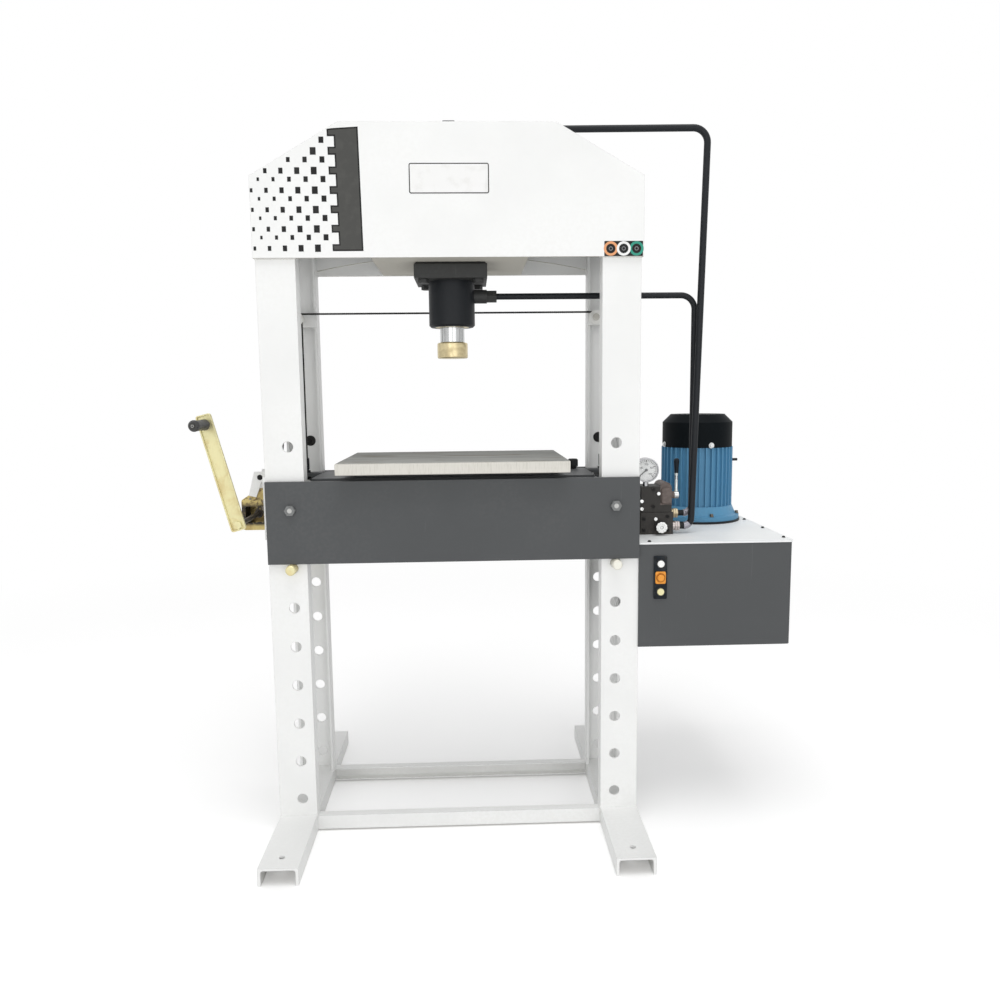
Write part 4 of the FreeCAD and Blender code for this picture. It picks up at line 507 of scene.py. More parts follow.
for name, node in nodes.items():        # the others get the finish named as their slot
    for slot in node.material_slots:
        plain = slot.material.name.split(".")[0]
        slot.material = finishes[ownFinishes.get(name, camelName(plain))]
print("finishes made:", len(finishes))


# pieces
def addPiece(name, mesh, finish, smooth=None, body="frame"):
    mesh.name = name
    if finish is not None:
        mesh.materials.clear()
        mesh.materials.append(finishes[finish])
    if smooth is not None:
        mesh.shade_smooth()
        mesh.set_sharp_from_angle(angle=math.radians(smooth))
    piece = addObject(name, mesh)
    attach(piece, body)
    return piece


def bakedMesh(holder):                  # its shape after modifiers; the holder goes
    depsgraph = bpy.context.evaluated_depsgraph_get()
    mesh = bpy.data.meshes.new_from_object(holder.evaluated_get(depsgraph), depsgraph=depsgraph)
    holder.modifiers.clear()
    bpy.data.objects.remove(holder)
    return mesh


def shellMesh(rings, closed=False, caps=False):     # faces between rings of places; a ring of one place is a tip
    work = bmesh.new()
    loops = [[work.verts.new(place) for place in ring] for ring in rings]
    steps = max(len(loop) for loop in loops)
    for low, high in zip(loops, loops[1:] + (loops[:1] if closed else [])):
        for k in range(steps):
            n = (k + 1) % steps
            corners = (low[k % len(low)], low[n % len(low)], high[n % len(high)], high[k % len(high)])
            unique = list(dict.fromkeys(corners))
            if len(unique) > 2:
                work.faces.new(unique)
    if caps:
        work.faces.new(loops[0])
        work.faces.new(loops[-1])
    bmesh.ops.remove_doubles(work, verts=work.verts, dist=1e-6)
    bmesh.ops.recalc_face_normals(work, faces=work.faces)
    mesh = bpy.data.meshes.new("piece")
    work.to_mesh(mesh)
    work.free()
    return mesh


def circlePoint(cx, cy, radius, angle):
    return cx + radius * math.cos(angle), cy + radius * math.sin(angle)


def turnedMesh(profile, centre, axis, steps=64, flutes=0, fluteDepth=0.0):
    # profile of (radius, height) pairs turned about an axis through centre
    axis = Vector(axis).normalized()
    side = axis.orthogonal().normalized()
    other = axis.cross(side)
    widest = max(radius for radius, height in profile)
    rings = []
    for radius, height in profile:
        middle = Vector(centre) + axis * height
        if radius == 0:
            rings.append([middle])
            continue
        ring = []
        for k in range(steps):
            angle = 2 * math.pi * k / steps
            fluted = flutes and radius > 0.6 * widest
            cut = fluteDepth * max(0.0, math.cos(flutes * angle)) ** 2 if fluted else 0
            x, y = circlePoint(0, 0, radius - cut, angle)
            ring.append(middle + side * x + other * y)
        rings.append(ring)
    return shellMesh(rings, closed=len(rings[0]) > 1 and len(rings[-1]) > 1)


# Geometry Nodes recipes: a tree with named sizes, grown on the points or lines of a holder mesh
class Recipe(Tree):
    def __init__(self, name, sizes, finish):
        tree = bpy.data.node_groups.new(name, "GeometryNodeTree")
        super().__init__(tree)
        tree.interface.new_socket("Holder", in_out="INPUT", socket_type="NodeSocketGeometry")
        for label, value in sizes.items():
            kind = "NodeSocketInt" if isinstance(value, int) else "NodeSocketFloat"
            tree.interface.new_socket(label, in_out="INPUT", socket_type=kind)
        tree.interface.new_socket("Piece", in_out="OUTPUT", socket_type="NodeSocketGeometry")
        self.entry = tree.nodes.new("NodeGroupInput")
        self.exit = tree.nodes.new("NodeGroupOutput")
        self.sizes = sizes
        self.finish = finish
        self.holder = self.given("Holder")

    def given(self, label):
        return Wire(self, self.entry.outputs[label])

    def close(self, shape):             # the tree's end
        whole = self.add("GeometryNodeRealizeInstances", {"Geometry": shape})
        painted = self.add("GeometryNodeSetMaterial", {"Geometry": whole, "Material": finishes[self.finish]})
        self.nodeTree.links.new(painted.socket, self.exit.inputs[0])

    def join(self, *shapes):
        return self.add("GeometryNodeJoinGeometry", {"Geometry": list(shapes)})

    def placed(self, points, shape, **sockets):
        return self.add("GeometryNodeInstanceOnPoints", {"Points": points, "Instance": shape, **sockets})

    def moved(self, shape, lift):
        return self.add("GeometryNodeTransform", {"Geometry": shape, "Translation": self.vector(0.0, 0.0, lift)})

    def cylinder(self, sides, radius, height, lift):
        made = self.add("GeometryNodeMeshCylinder", {"Vertices": sides, "Radius": radius, "Depth": height})
        return self.moved(made, lift)

    def grow(self, name, holderMesh, slot, smooth=None, body="frame", **changes):
        holder = addObject(name + "Holder", holderMesh)
        modifier = holder.modifiers.new("recipe", "NODES")
        modifier.node_group = self.nodeTree
        for item in self.nodeTree.interface.items_tree:
            if item.in_out == "INPUT" and item.name in self.sizes:
                modifier[item.identifier] = changes.get(item.name, self.sizes[item.name])
        return addPiece(name, bakedMesh(holder), None, smooth, body)


def pointsMesh(places):                 # (place, axis) pairs as loose points that carry their axis
    mesh = bpy.data.meshes.new("points")
    mesh.from_pydata([place for place, axis in places], [], [])
    axes = mesh.attributes.new("axis", "FLOAT_VECTOR", "POINT")
    axes.data.foreach_set("vector", [value for place, axis in places for value in axis])
    return mesh


def linesMesh(paths):                   # open paths as chains of edges
    points, edges = [], []
    for path in paths:
        first = len(points)
        points += path
        edges += [(first + k, first + k + 1) for k in range(len(path) - 1)]
    mesh = bpy.data.meshes.new("lines")
    mesh.from_pydata(points, edges, [])
    return mesh


# screws: a washer, a round or hexagonal head with a chamfered top, and a socket where there is one
screwLabels = ("Sides", "Head radius", "Head height", "Washer radius", "Washer height")
screwKinds = {                          # sizes as labelled, finish, and whether it has a socket
    "hexScrew": ((6, 0.0085, 0.006, 0.0105, 0.0016), "brightScrew", False),
    "flangeBolt": ((6, 0.0064, 0.008, 0.0074, 0.002), "winchSteel", False),
    "socketScrew": ((24, 0.0055, 0.0050, 0.0058, 0.0004), "darkBolt", True),
    "hexBolt": ((6, 0.0074, 0.0045, 0.0090, 0.0010), "darkBolt", False),
    "brightSocketScrew": ((24, 0.0055, 0.0055, 0.0056, 0.0004), "brightScrew", True),
}
screwShares = {"shank": 0.8, "top": 0.86, "socket": 0.56, "socketLift": 1.02}      # of the head's height or radius


def screwRecipe(name, sizes, finish, socket):
    recipe = Recipe(name, dict(zip(screwLabels, sizes)), finish)
    sides, radius, height, washerRadius, washer = (recipe.given(label) for label in screwLabels)
    low = recipe.cylinder(24, washerRadius, washer, washer * 0.5)
    if socket:
        head = recipe.cylinder(sides, radius, height, washer + height * 0.5)
        hollow = recipe.cylinder(6, radius * screwShares["socket"], height, washer + height * screwShares["socketLift"])
        head = recipe.add("GeometryNodeMeshBoolean", {"Mesh 1": head, "Mesh 2": hollow}, operation="DIFFERENCE")
    else:
        share = screwShares["shank"]
        shank = recipe.cylinder(sides, radius, height * share, washer + height * (share / 2))
        top = recipe.add("GeometryNodeMeshCone", {"Vertices": sides, "Radius Bottom": radius,
                                                  "Radius Top": radius * screwShares["top"],
                                                  "Depth": height * (1 - share)})
        head = recipe.join(shank, recipe.moved(top, washer + height * share))
    axis = recipe.add("GeometryNodeInputNamedAttribute", {"Name": "axis"}, data_type="FLOAT_VECTOR")
    turn = recipe.add("FunctionNodeAlignRotationToVector", {"Vector": axis}, axis="Z")
    recipe.close(recipe.placed(recipe.holder, recipe.join(low, head), Rotation=turn))
    return recipe


screws = {name: screwRecipe(name, *kind) for name, kind in screwKinds.items()}
toFront, toBack, upright = (0, -1, 0), (0, 1, 0), (0, 0, 1)
valve = {"lowFront": -0.045, "bright": ((0.6725, 0.9985),),                         # on the lower block
         "dark": ((0.6330, 0.9985), (0.7130, 1.0060), (0.7130, 0.9600), (0.6330, 0.9600)),
         "front": -0.040, "brightAbove": ((0.6826, 1.0840), (0.6262, 1.0590), (0.6262, 1.0330)),
         "darkAbove": ((0.6658, 1.0403), (0.6652, 1.0985))}
tank = {"x0": 0.587, "x1": 1.085, "y0": -0.195, "y1": 0.485, "lid": 0.946, "sunk": 0.0002, "inset": 0.012,
        "along": (0.06, 0.36, 0.66, 0.94), "across": (0.05,)}
arms = {"x": -0.653, "z": 1.153, "front": 0.008, "back": 0.124}     # holes of the winch bracket's two arms
station = {"x": 0.656, "front": -0.201, "low": 0.762, "high": 0.902, "half": 0.0155, "margin": 0.007, "sunk": 0.0002}


def aroundMotor(radius, firstTurn, count, level):   # places, each with its way outwards
    turns = [math.radians(firstTurn + 360 / count * k) for k in range(count)]
    return [((*circlePoint(motor["x"], motor["y"], radius, turn), level), (*circlePoint(0, 0, 1, turn), 0.0))
            for turn in turns]


def facing(axis, places):
    return [(place, axis) for place in places]


def valvePlaces(low, high):
    return facing(toFront, [(x, valve["lowFront"], z) for x, z in low] + [(x, valve["front"], z) for x, z in high])


def lidPlaces(sizes):
    inset = sizes["inset"]
    x0, x1, y0, y1 = sizes["x0"] + inset, sizes["x1"] - inset, sizes["y0"] + inset, sizes["y1"] - inset
    level = sizes["lid"] - sizes["sunk"]
    places = [(x1, y0 + (y1 - y0) * share, level) for share in sizes["along"]]
    return places + [(x0 + (x1 - x0) * share, y, level) for share in sizes["across"] for y in (y0, y1)]


def stationPlaces(sizes):
    return [(sizes["x"] + side * sizes["half"], sizes["front"] + sizes["sunk"], z) for side in (-1, 1)
            for z in (sizes["low"] + sizes["margin"], sizes["high"] - sizes["margin"])]


ringPlaces = aroundMotor(motor["flangeBoltRadius"], motor["flangeTurn"], 6, motor["flangeLevel"])
armPlaces = [((arms["x"], arms[key], arms["z"]), axis) for key, axis in (("front", toFront), ("back", toBack))]
for name, kind, slot, places, sizes in (
        ("cowlScrews", "hexScrew", "chrome_rod",
         aroundMotor(motor["cowlScrewRadius"], motor["screwTurn"], 4, motor["screwLevel"]), ()),
        ("motorFlangeBolts", "flangeBolt", "winch_steel", facing(upright, [place for place, out in ringPlaces]), ()),
        ("valveScrews", "brightSocketScrew", "chrome_rod", valvePlaces(valve["bright"], valve["brightAbove"]), ()),
        ("valveDarkScrews", "socketScrew", "winch_steel", valvePlaces(valve["dark"], valve["darkAbove"]), ()),
        ("lidScrews", "hexBolt", "winch_steel", facing(upright, lidPlaces(tank)), (6, 0.0050, 0.004, 0.0064, 0.001)),
        ("armBolts", "hexBolt", "winch_steel", armPlaces, ()),
        ("stationScrews", "socketScrew", "winch_steel", facing(toFront, stationPlaces(station)),
         (24, 0.0026, 0.0016, 0.0028, 0.0002))):
    screws[kind].grow(name, pointsMesh(places), slot, 30, **dict(zip(screwLabels, sizes)))
print("screws done")

# printed film on the head's front: a dark band with a stepped edge, squares that shrink away from it,
# an empty bordered plate and a strip of three rings
film = {"face": -0.200, "thick": 0.0003, "leanFrom": 1.862, "lean": 0.0175,
        "bandLeft": -0.331, "bandStep": 0.020, "bandRight": -0.259, "bandTop": 2.211, "bandLow": 1.853,
        "rows": (2.1952, 2.1423, 2.0862, 2.0301, 1.9747, 1.9185, 1.8620), "stepHeight": 0.023, "border": 0.0045,
        "plate": (-0.1175, 0.1220, 2.0195, 2.1075), "plateCorner": 0.006, "plateBorder": 0.0030,
        "strip": (0.4705, 0.5890, 1.8343, 1.8790), "stripCorner": 0.002,
        "rings": ("vinylOrange", "vinylWhite", "vinylGreen"), "ring": (0.0215, 0.0142), "core": (0.0062, 0.0040),
        "slopeX": -0.592, "slopeZ": 2.072, "slope": 0.5746, "slopeGap": (0.0065, 0.002)}


def filmMesh(outline, front, thick):    # flat film from an outline in X and Z
    return shellMesh([[(x, y, z) for x, z in outline] for y in (front, front - thick)], caps=True)


def drawnIn(outline, border):           # the same outline, moved inwards by a border's width
    points = [Vector(point) for point in outline]
    area = sum(a.x * b.y - b.x * a.y for a, b in zip(points, points[1:] + points[:1]))
    side = 1 if area > 0 else -1
    result = []
    for before, here, after in zip(points[-1:] + points[:-1], points, points[1:] + points[:1]):
        ahead, behind = (after - here).normalized(), (here - before).normalized()
        first, second = Vector((-behind.y, behind.x)) * side, Vector((-ahead.y, ahead.x)) * side
        across = (first + second).normalized()
        moved = here + across * (border / max(0.3, across.dot(first)))
        result.append((moved.x, moved.y))
    return result


def bandOutline(sizes):                 # its steps, cut off under the head's slope, then leaned as the film is
    left, half = sizes["bandLeft"], sizes["stepHeight"] / 2
    points = [(sizes["bandRight"], sizes["bandTop"]), (sizes["bandRight"], sizes["bandLow"])]
    for z in reversed(sizes["rows"]):
        top, low = min(z + half, sizes["bandTop"]), max(z - half, sizes["bandLow"])
        if low > sizes["bandLow"]:
            points.append((left, low))
        points += [(left - sizes["bandStep"], low), (left - sizes["bandStep"], top)]
        if top < sizes["bandTop"]:
            points.append((left, top))
    side, under = sizes["slopeGap"]
    points = [(x, min(z, sizes["slopeZ"] + (x - side - sizes["slopeX"]) * sizes["slope"] - under)) for x, z in points]
    return [(x - sizes["lean"] * (z - sizes["leanFrom"]), z) for x, z in points]


def roundedOutline(x0, x1, z0, z1, corner, steps=5):
    points = []
    for cx, cz, start in ((x1 - corner, z1 - corner, 0), (x0 + corner, z1 - corner, 90),
                          (x0 + corner, z0 + corner, 180), (x1 - corner, z0 + corner, 270)):
        points += [circlePoint(cx, cz, corner, math.radians(start + 90 * k / steps)) for k in range(steps + 1)]
    return points


def filmPiece(name, outline, finish, share=1.0):
    addPiece(name, filmMesh(outline, film["face"], film["thick"] * share), finish)


def borderedFilm(name, outline, finish, border):    # a dark edge film, and the middle film on it
    filmPiece(name + "Edge", outline, "vinylEdge")
    filmPiece(name, drawnIn(outline, border), finish, 1.6)


def printedRing(name, sizes, centre, lift, finish):
    outer, inner = sizes
    low, high = film["thick"], film["thick"] * (1.5 + lift)
    profile = [(inner, low), (outer, low), (outer, high), (inner, high)]
    addPiece(name, turnedMesh(profile, centre, toFront), finish)


borderedFilm("headBand", bandOutline(film), "vinylBlack", film["border"])
borderedFilm("headPlate", roundedOutline(*film["plate"], film["plateCorner"]), "vinylWhite", film["plateBorder"])
filmPiece("headStrip", roundedOutline(*film["strip"], film["stripCorner"]), "vinylEdge")
stripX0, stripX1, stripZ0, stripZ1 = film["strip"]
for k, finish in enumerate(film["rings"]):
    middle = (stripX0 + (k + 0.5) * (stripX1 - stripX0) / 3, film["face"], (stripZ0 + stripZ1) / 2)
    printedRing("headRing" + str(k + 1), film["ring"], middle, k % 2, finish)
    printedRing("headRing" + str(k + 1) + "Core", film["core"], middle, 0, "vinylGrey")

checker = {"Columns": 10, "Rows": 13, "First x": -0.369, "Step": 0.0262, "Closing": 0.00027, "First z": 2.1980,
           "Row pitch": 0.0560, "Row drop": 0.0243, "Width": 0.0185, "Height": 0.0228, "Width loss": 0.00118,
           "Height loss": 0.0012, "Odd share": 0.785, "Thick": 0.0004, "Lean": film["lean"],
           "Lean from": film["leanFrom"], "Slope x": film["slopeX"], "Slope z": film["slopeZ"], "Slope": film["slope"]}


def checkerRecipe(sizes):
    recipe = Recipe("checkerFade", sizes, "vinylEdge")
    g = recipe.given
    points = recipe.add("GeometryNodeMeshLine", {"Count": g("Columns") * g("Rows")})
    index = recipe.add("GeometryNodeInputIndex")
    column = index % g("Columns")
    row = (index / g("Columns")).floor()
    odd = row % 2.0
    z = g("First z") - (row / 2.0).floor() * g("Row pitch") - odd * g("Row drop")
    x = g("First x") - column * g("Step") + column * column * g("Closing") - (z - g("Lean from")) * g("Lean")
    share = 1 - odd * (1 - g("Odd share"))
    width = (g("Width") - column * g("Width loss")) * share
    height = (g("Height") - column * g("Height loss")) * share
    ceiling = g("Slope z") + (x - width * 0.5 - g("Slope x")) * g("Slope")
    wrongColour = (column + row) % 2.0 < 0.5
    cut = recipe.add("FunctionNodeBooleanMath", {0: wrongColour, 1: ceiling < z + height * 0.5}, operation="OR")
    square = recipe.add("GeometryNodeMeshCube", {"Size": (1.0, 1.0, 1.0)})
    kept = {"wide": width, "tall": height, "cut": cut, "atX": x, "atZ": z}
    for label, value in kept.items():       # worked out while every point still has its first number
        points = recipe.add("GeometryNodeStoreNamedAttribute", {"Geometry": points, "Name": label, "Value": value},
                            data_type="FLOAT", domain="POINT")
    held = {label: recipe.add("GeometryNodeInputNamedAttribute", {"Name": label}, data_type="FLOAT")
            for label in kept}
    points = recipe.add("GeometryNodeSetPosition", {
        "Geometry": points, "Position": recipe.vector(held["atX"], film["face"] - film["thick"] / 2, held["atZ"])})
    points = recipe.add("GeometryNodeDeleteGeometry", {"Geometry": points, "Selection": held["cut"] > 0.5},
                        domain="POINT")
    recipe.close(recipe.placed(points, square, Scale=recipe.vector(held["wide"], g("Thick"), held["tall"])))
    return recipe


onePoint = [((0, 0, 0), upright)]       # for a tree that makes its own points
checkerRecipe(checker).grow("headSquares", pointsMesh(onePoint), "black_plastic")
print("head film done")

# square surround of the middle button: a rounded square with a round hole, its front edge eased
surround = {"wide": 0.0168, "tall": 0.0200, "thick": 0.0028, "hole": 0.0147, "ease": 0.0010, "squareness": 8,
            "steps": 48}


def surroundMesh(sizes):
    low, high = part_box("button_middle")
    cx, cz = (low[0] + high[0]) / 2, (low[2] + high[2]) / 2
    angles = [2 * math.pi * k / sizes["steps"] for k in range(sizes["steps"])]
    outer, inner = [], []
    for deep, ease in ((0.0, 0.0), (0.75, 0.0), (1.0, sizes["ease"])):
        front, power = station["front"] - sizes["thick"] * deep, sizes["squareness"]
        wide, tall = sizes["wide"] - ease, sizes["tall"] - ease
        square = [(abs(math.cos(a) / wide) ** power + abs(math.sin(a) / tall) ** power) ** (-1 / power) for a in angles]
        for rings, reaches in ((outer, square), (inner, [sizes["hole"] + ease * 0.5] * len(angles))):
            rings.append([(cx + r * math.cos(a), front, cz + r * math.sin(a)) for r, a in zip(reaches, angles)])
    return shellMesh(outer + inner[::-1], closed=True)


addPiece("middleSurround", surroundMesh(surround), "buttonOrange", 30)

# pressure gauge: paper dial, ticks, figures and glass
gauge = {"centre": (0.642, -0.032, 1.163), "front": -0.041, "dial": 0.0369, "paper": 0.0005, "sweep": 270.0,
         "start": 225.0, "tickOut": 0.0335, "figures": ("0", "100", "200", "300", "400"), "figureAt": 0.0190,
         "figureHigh": 0.0090, "ink": 0.0001, "tickFront": 0.0006, "figureFront": 0.0008, "glassSunk": 0.0022,
         "glass": ((0.0369, 0.0012), (0.030, 0.0017), (0, 0.0019))}
ticks = {"Count": 25, "Radius": gauge["tickOut"], "Long": 0.0078, "Short": 0.0052, "Broad": 0.0024, "Thick": 0.0003,
         "Sweep": math.radians(gauge["sweep"]), "Start": math.radians(gauge["start"])}


def ticksRecipe(sizes):                 # every sixth is longer and broader
    recipe = Recipe("dialTicks", sizes, "needleBlack")
    g = recipe.given
    line = recipe.add("GeometryNodeMeshLine", {"Count": g("Count")})
    index = recipe.add("GeometryNodeInputIndex")
    angle = g("Start") - index * (g("Sweep") / (g("Count") - 1))
    long = index % 6.0 < 0.5
    length = g("Short") + long * (g("Long") - g("Short"))
    reach = g("Radius") - length * 0.5
    cx, cy, cz = gauge["centre"]
    across, up = (reach * angle.maths(operation, angle) for operation in ("COSINE", "SINE"))
    where = recipe.vector(cx + across, cy - gauge["tickFront"], cz + up)
    points = recipe.add("GeometryNodeSetPosition", {"Geometry": line, "Position": where})
    tick = recipe.add("GeometryNodeMeshCube", {"Size": (1.0, 1.0, 1.0)})
    recipe.close(recipe.placed(points, tick, Rotation=recipe.vector(0.0, 0 - angle, 0.0),
                               Scale=recipe.vector(length, g("Thick"), g("Broad") * (0.6 + long * 0.4))))
    return recipe


def figuresMesh(sizes):                 # the figures as one flat mesh, set on the dial
    joined = bmesh.new()
    cx, cy, cz = sizes["centre"]
    for k, figure in enumerate(sizes["figures"]):
        curve = bpy.data.curves.new("figure", "FONT")
        curve.body = figure
        curve.size = sizes["figureHigh"]
        curve.align_x, curve.align_y = "CENTER", "CENTER"
        curve.extrude = sizes["ink"]
        mesh = bakedMesh(addObject("figure", curve))
        angle = math.radians(sizes["start"] - sizes["sweep"] * k / (len(sizes["figures"]) - 1))
        x, z = circlePoint(cx, cz, sizes["figureAt"], angle)
        place = Matrix.Translation((x, cy - sizes["figureFront"], z))
        mesh.transform(place @ Matrix.Rotation(math.pi / 2, 4, "X"))
        joined.from_mesh(mesh)
    mesh = bpy.data.meshes.new("figures")
    joined.to_mesh(mesh)
    joined.free()
    return mesh


dial, paper = gauge["dial"], gauge["paper"]
glassAt = (gauge["centre"][0], gauge["front"] + gauge["glassSunk"], gauge["centre"][2])
addPiece("gaugeDial", turnedMesh([(0, 0), (dial, 0), (dial, paper), (0, paper)], gauge["centre"], toFront),
         "dialPaper", 40)
ticksRecipe(ticks).grow("gaugeTicks", pointsMesh(onePoint), "needle_black")
addPiece("gaugeFigures", figuresMesh(gauge), "needleBlack")
addPiece("gaugeGlass", turnedMesh([(0, 0), (dial, 0), *gauge["glass"]], glassAt, toFront),
         "gaugeGlass", 40)
print("gauge dressed")

# relief knob with finger flutes, in place of the plain one; its outline is given inwards from the rim
knob = {"back": ((0.004, 0), (0.0015, 0.0012), (0, 0.004)),
        "front": ((0, 0.006), (0.0012, 0.0022), (0.004, 0.0004), (0.0065, 0), (0.0085, 0.0012)),
        "pit": ((0.0055, 0.0012), (0.0045, 0.003), (0, 0.003)), "flutes": 10, "fluteDepth": 0.0016, "steps": 120}
knobLow, knobHigh = (Vector(corner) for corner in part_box("relief_knob"))
knobMiddle = (knobLow + knobHigh) / 2
rim, deep = (knobHigh.x - knobLow.x) / 2, knobHigh.y - knobLow.y
knobProfile = [(0, 0)] + [(rim - r, y) for r, y in knob["back"]] + [(rim - r, deep - y) for r, y in knob["front"]]
knobProfile += [(r, deep - y) for r, y in knob["pit"]]
knobMesh = turnedMesh(knobProfile, (knobMiddle.x, knobHigh.y, knobMiddle.z), toFront,
                      steps=knob["steps"], flutes=knob["flutes"], fluteDepth=knob["fluteDepth"])
reliefKnob = addPiece("reliefKnobFluted", knobMesh, "reliefPlastic", 35, "relief")
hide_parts("relief_knob")

# collars on the two pipes' last bends
collars = {"pipeSleeve": {"centre": (0.778, 0.0, 1.038), "bend": 0.026, "from": -92.0, "to": -34.0, "radius": 0.0118},
           "pipeSleeveLow": {"centre": (0.7717, -0.0278, 0.998), "bend": 0.026, "from": -90.0, "to": -44.0,
                             "radius": 0.0124}}
collarShares = [0.99, 1.06, 1.06] + [1.0] * 9 + [0.99]      # of the radius, from end to end


def collarMesh(sizes, sides=32):        # round bar along the bend, closed at both ends
    last = len(collarShares) - 1
    turns = [math.radians(sizes["from"] + (sizes["to"] - sizes["from"]) * k / last) for k in range(last + 1)]
    path = [Vector(sizes["centre"]) + Vector((math.cos(t), 0, math.sin(t))) * sizes["bend"] for t in turns]
    rings = []
    for k, (point, share) in enumerate(zip(path, collarShares)):
        ahead = (path[min(k + 1, last)] - path[max(k - 1, 0)]).normalized()
        side = ahead.cross(Vector((0, 1, 0))).normalized()
        other = ahead.cross(side)
        rings.append([point + (side * math.cos(a) + other * math.sin(a)) * (sizes["radius"] * share)
                      for a in (2 * math.pi * j / sides for j in range(sides))])
    return shellMesh(rings, caps=True)


for name, sizes in collars.items():
    addPiece(name, collarMesh(sizes), "pipeCollar", 40)

# the lever's stem is a tube, belled at both ends
stem = {"at": (0.7483, -0.015, 1.0870),
        "profile": ((0, 0), (0.0056, 0), (0.0062, 0.0015), (0.0062, 0.005), (0.0050, 0.008), (0.0052, 0.030),
                    (0.0048, 0.054), (0.0058, 0.059), (0.0058, 0.0632), (0, 0.0632))}
addPiece("leverStem", turnedMesh(stem["profile"], stem["at"], upright, steps=40),
         "leverSteel", 35, "lever")

# black plugs in the rear uprights' holes just over the bed
plug = {"x": 0.513, "back": 0.1895, "z": 1.265,
        "profile": ((0, 0), (0.0166, 0), (0.0166, 0.0066), (0.0182, 0.0066), (0.0182, 0.0085), (0.0160, 0.0096),
                    (0.0078, 0.0096), (0.0070, 0.0078), (0.0046, 0.0078), (0.0038, 0.0096), (0, 0.0096))}
for name, side in (("plugLeft", -1), ("plugRight", 1)):
    mesh = turnedMesh(plug["profile"], (side * plug["x"], plug["back"], plug["z"]), toFront, steps=48)
    addPiece(name, mesh, "darkBolt", 35)

# folded guard between the winch frame's sides, on the end away from the press
guard = {"line": ((-0.703, 0.9836), (-0.7135, 0.9836), (-0.7165, 0.9850), (-0.7178, 0.9880), (-0.7178, 1.0560),
                  (-0.7165, 1.0590), (-0.7135, 1.0604), (-0.701, 1.0604)), "thick": 0.0014, "y": (0.0178, 0.1142)}


def guardMesh(sizes):
    line, thick = sizes["line"], sizes["thick"]
    inner = drawnIn(line, thick)
    inner[0], inner[-1] = (line[0][0], line[0][1] + thick), (line[-1][0], line[-1][1] - thick)
    front, back = sizes["y"]
    corners = [((a, front), (b, front), (b, back), (a, back)) for a, b in zip(line, inner)]
    return shellMesh([[(x, y, z) for (x, z), y in ring] for ring in corners], caps=True)


addPiece("winchGuard", guardMesh(guard), "darkBolt", 35)

# wire rope: six strands twisted round the path of the rope
rope = {"planes": (0.0845, 0.0995), "drum": (-0.641, 1.072), "drumRadius": 0.0283, "sheave": 0.018,
        "leftSheave": (-0.526, 1.679), "rightX": 0.508, "leftX": -0.508, "turns": 2.2, "pitch": 0.0064, "lift": 0.266,
        "spread": (-1, -1 / 3)}         # pitches along the drum from turn to turn, for each rope
strands = {"Strands": 6, "Strand radius": 0.00125, "Lay radius": 0.00205, "Lay length": 0.042, "Spacing": 0.0034}


def arcPoints(cx, cz, radius, start, end, y, steps=14):
    places = [circlePoint(cx, cz, radius, start + (end - start) * k / steps) for k in range(steps + 1)]
    return [(x, y, z) for x, z in places]


def ropeHeading(sizes):                 # of the two runs that rise from the drum to the left sheave
    dx, dz = sizes["drum"]
    sx, sz = sizes["leftSheave"]
    lean = math.asin((sizes["drumRadius"] + sizes["sheave"]) / math.hypot(sx - dx, sz - dz))
    return math.atan2(sz - dz, sx - dx) + lean


def ropePath(sizes, y, dropX):          # tangent off the drum, over the sheaves, to the top of the fall
    heading, quarter = ropeHeading(sizes), math.pi / 2
    sx, sz = sizes["leftSheave"]
    start = circlePoint(*sizes["drum"], sizes["drumRadius"], heading - quarter)
    points = [(start[0], y, start[1])] + arcPoints(sx, sz, sizes["sheave"], heading + quarter, quarter, y)
    if dropX > 0:
        return points + arcPoints(dropX - sizes["sheave"], sz, sizes["sheave"], quarter, 0, y)
    return points + arcPoints(sx, sz, sizes["sheave"], quarter, 0, y)[1:]


def woundPath(sizes, y, spread, steps=40):      # turns on the drum that end where the rope leaves it
    off = ropeHeading(sizes) - math.pi / 2
    places = []
    for k in range(int(sizes["turns"] * steps) + 1):
        x, z = circlePoint(*sizes["drum"], sizes["drumRadius"], off - 2 * math.pi * k / steps)
        places.append((x, y + spread * sizes["pitch"] * k / steps, z))
    return places


def ropeRecipe(sizes):
    recipe = Recipe("twistedRope", sizes, "wireRope")
    g = recipe.given
    path = recipe.add("GeometryNodeMeshToCurve", {"Mesh": recipe.holder})
    path = recipe.add("GeometryNodeResampleCurve", {"Curve": path, "Length": g("Spacing")}, mode="LENGTH")
    twist = recipe.add("GeometryNodeSplineParameter", out="Length") * (2 * math.pi) / g("Lay length")
    path = recipe.add("GeometryNodeSetCurveTilt", {"Curve": path, "Tilt": twist})
    ring = recipe.add("GeometryNodeMeshCircle", {"Vertices": g("Strands"), "Radius": g("Lay radius")})
    strand = recipe.add("GeometryNodeCurvePrimitiveCircle", {"Resolution": 6, "Radius": g("Strand radius")},
                        mode="RADIUS")
    profile = recipe.add("GeometryNodeRealizeInstances", {"Geometry": recipe.placed(ring, strand)})
    recipe.close(recipe.add("GeometryNodeCurveToMesh", {"Curve": path, "Profile Curve": profile, "Fill Caps": True}))
    return recipe


twisted = ropeRecipe(strands)
leftPlane, rightPlane = rope["planes"]
runPaths = [ropePath(rope, leftPlane, -1), ropePath(rope, rightPlane, rope["rightX"])]
runs = twisted.grow("ropeStrands", linesMesh(runPaths), "wire_rope", 60)
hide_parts("rope_runs")
woundPaths = [woundPath(rope, plane, spread) for plane, spread in zip(rope["planes"], rope["spread"])]
twisted.grow("ropeOnDrum", linesMesh(woundPaths), "wire_rope", 60, "drum")

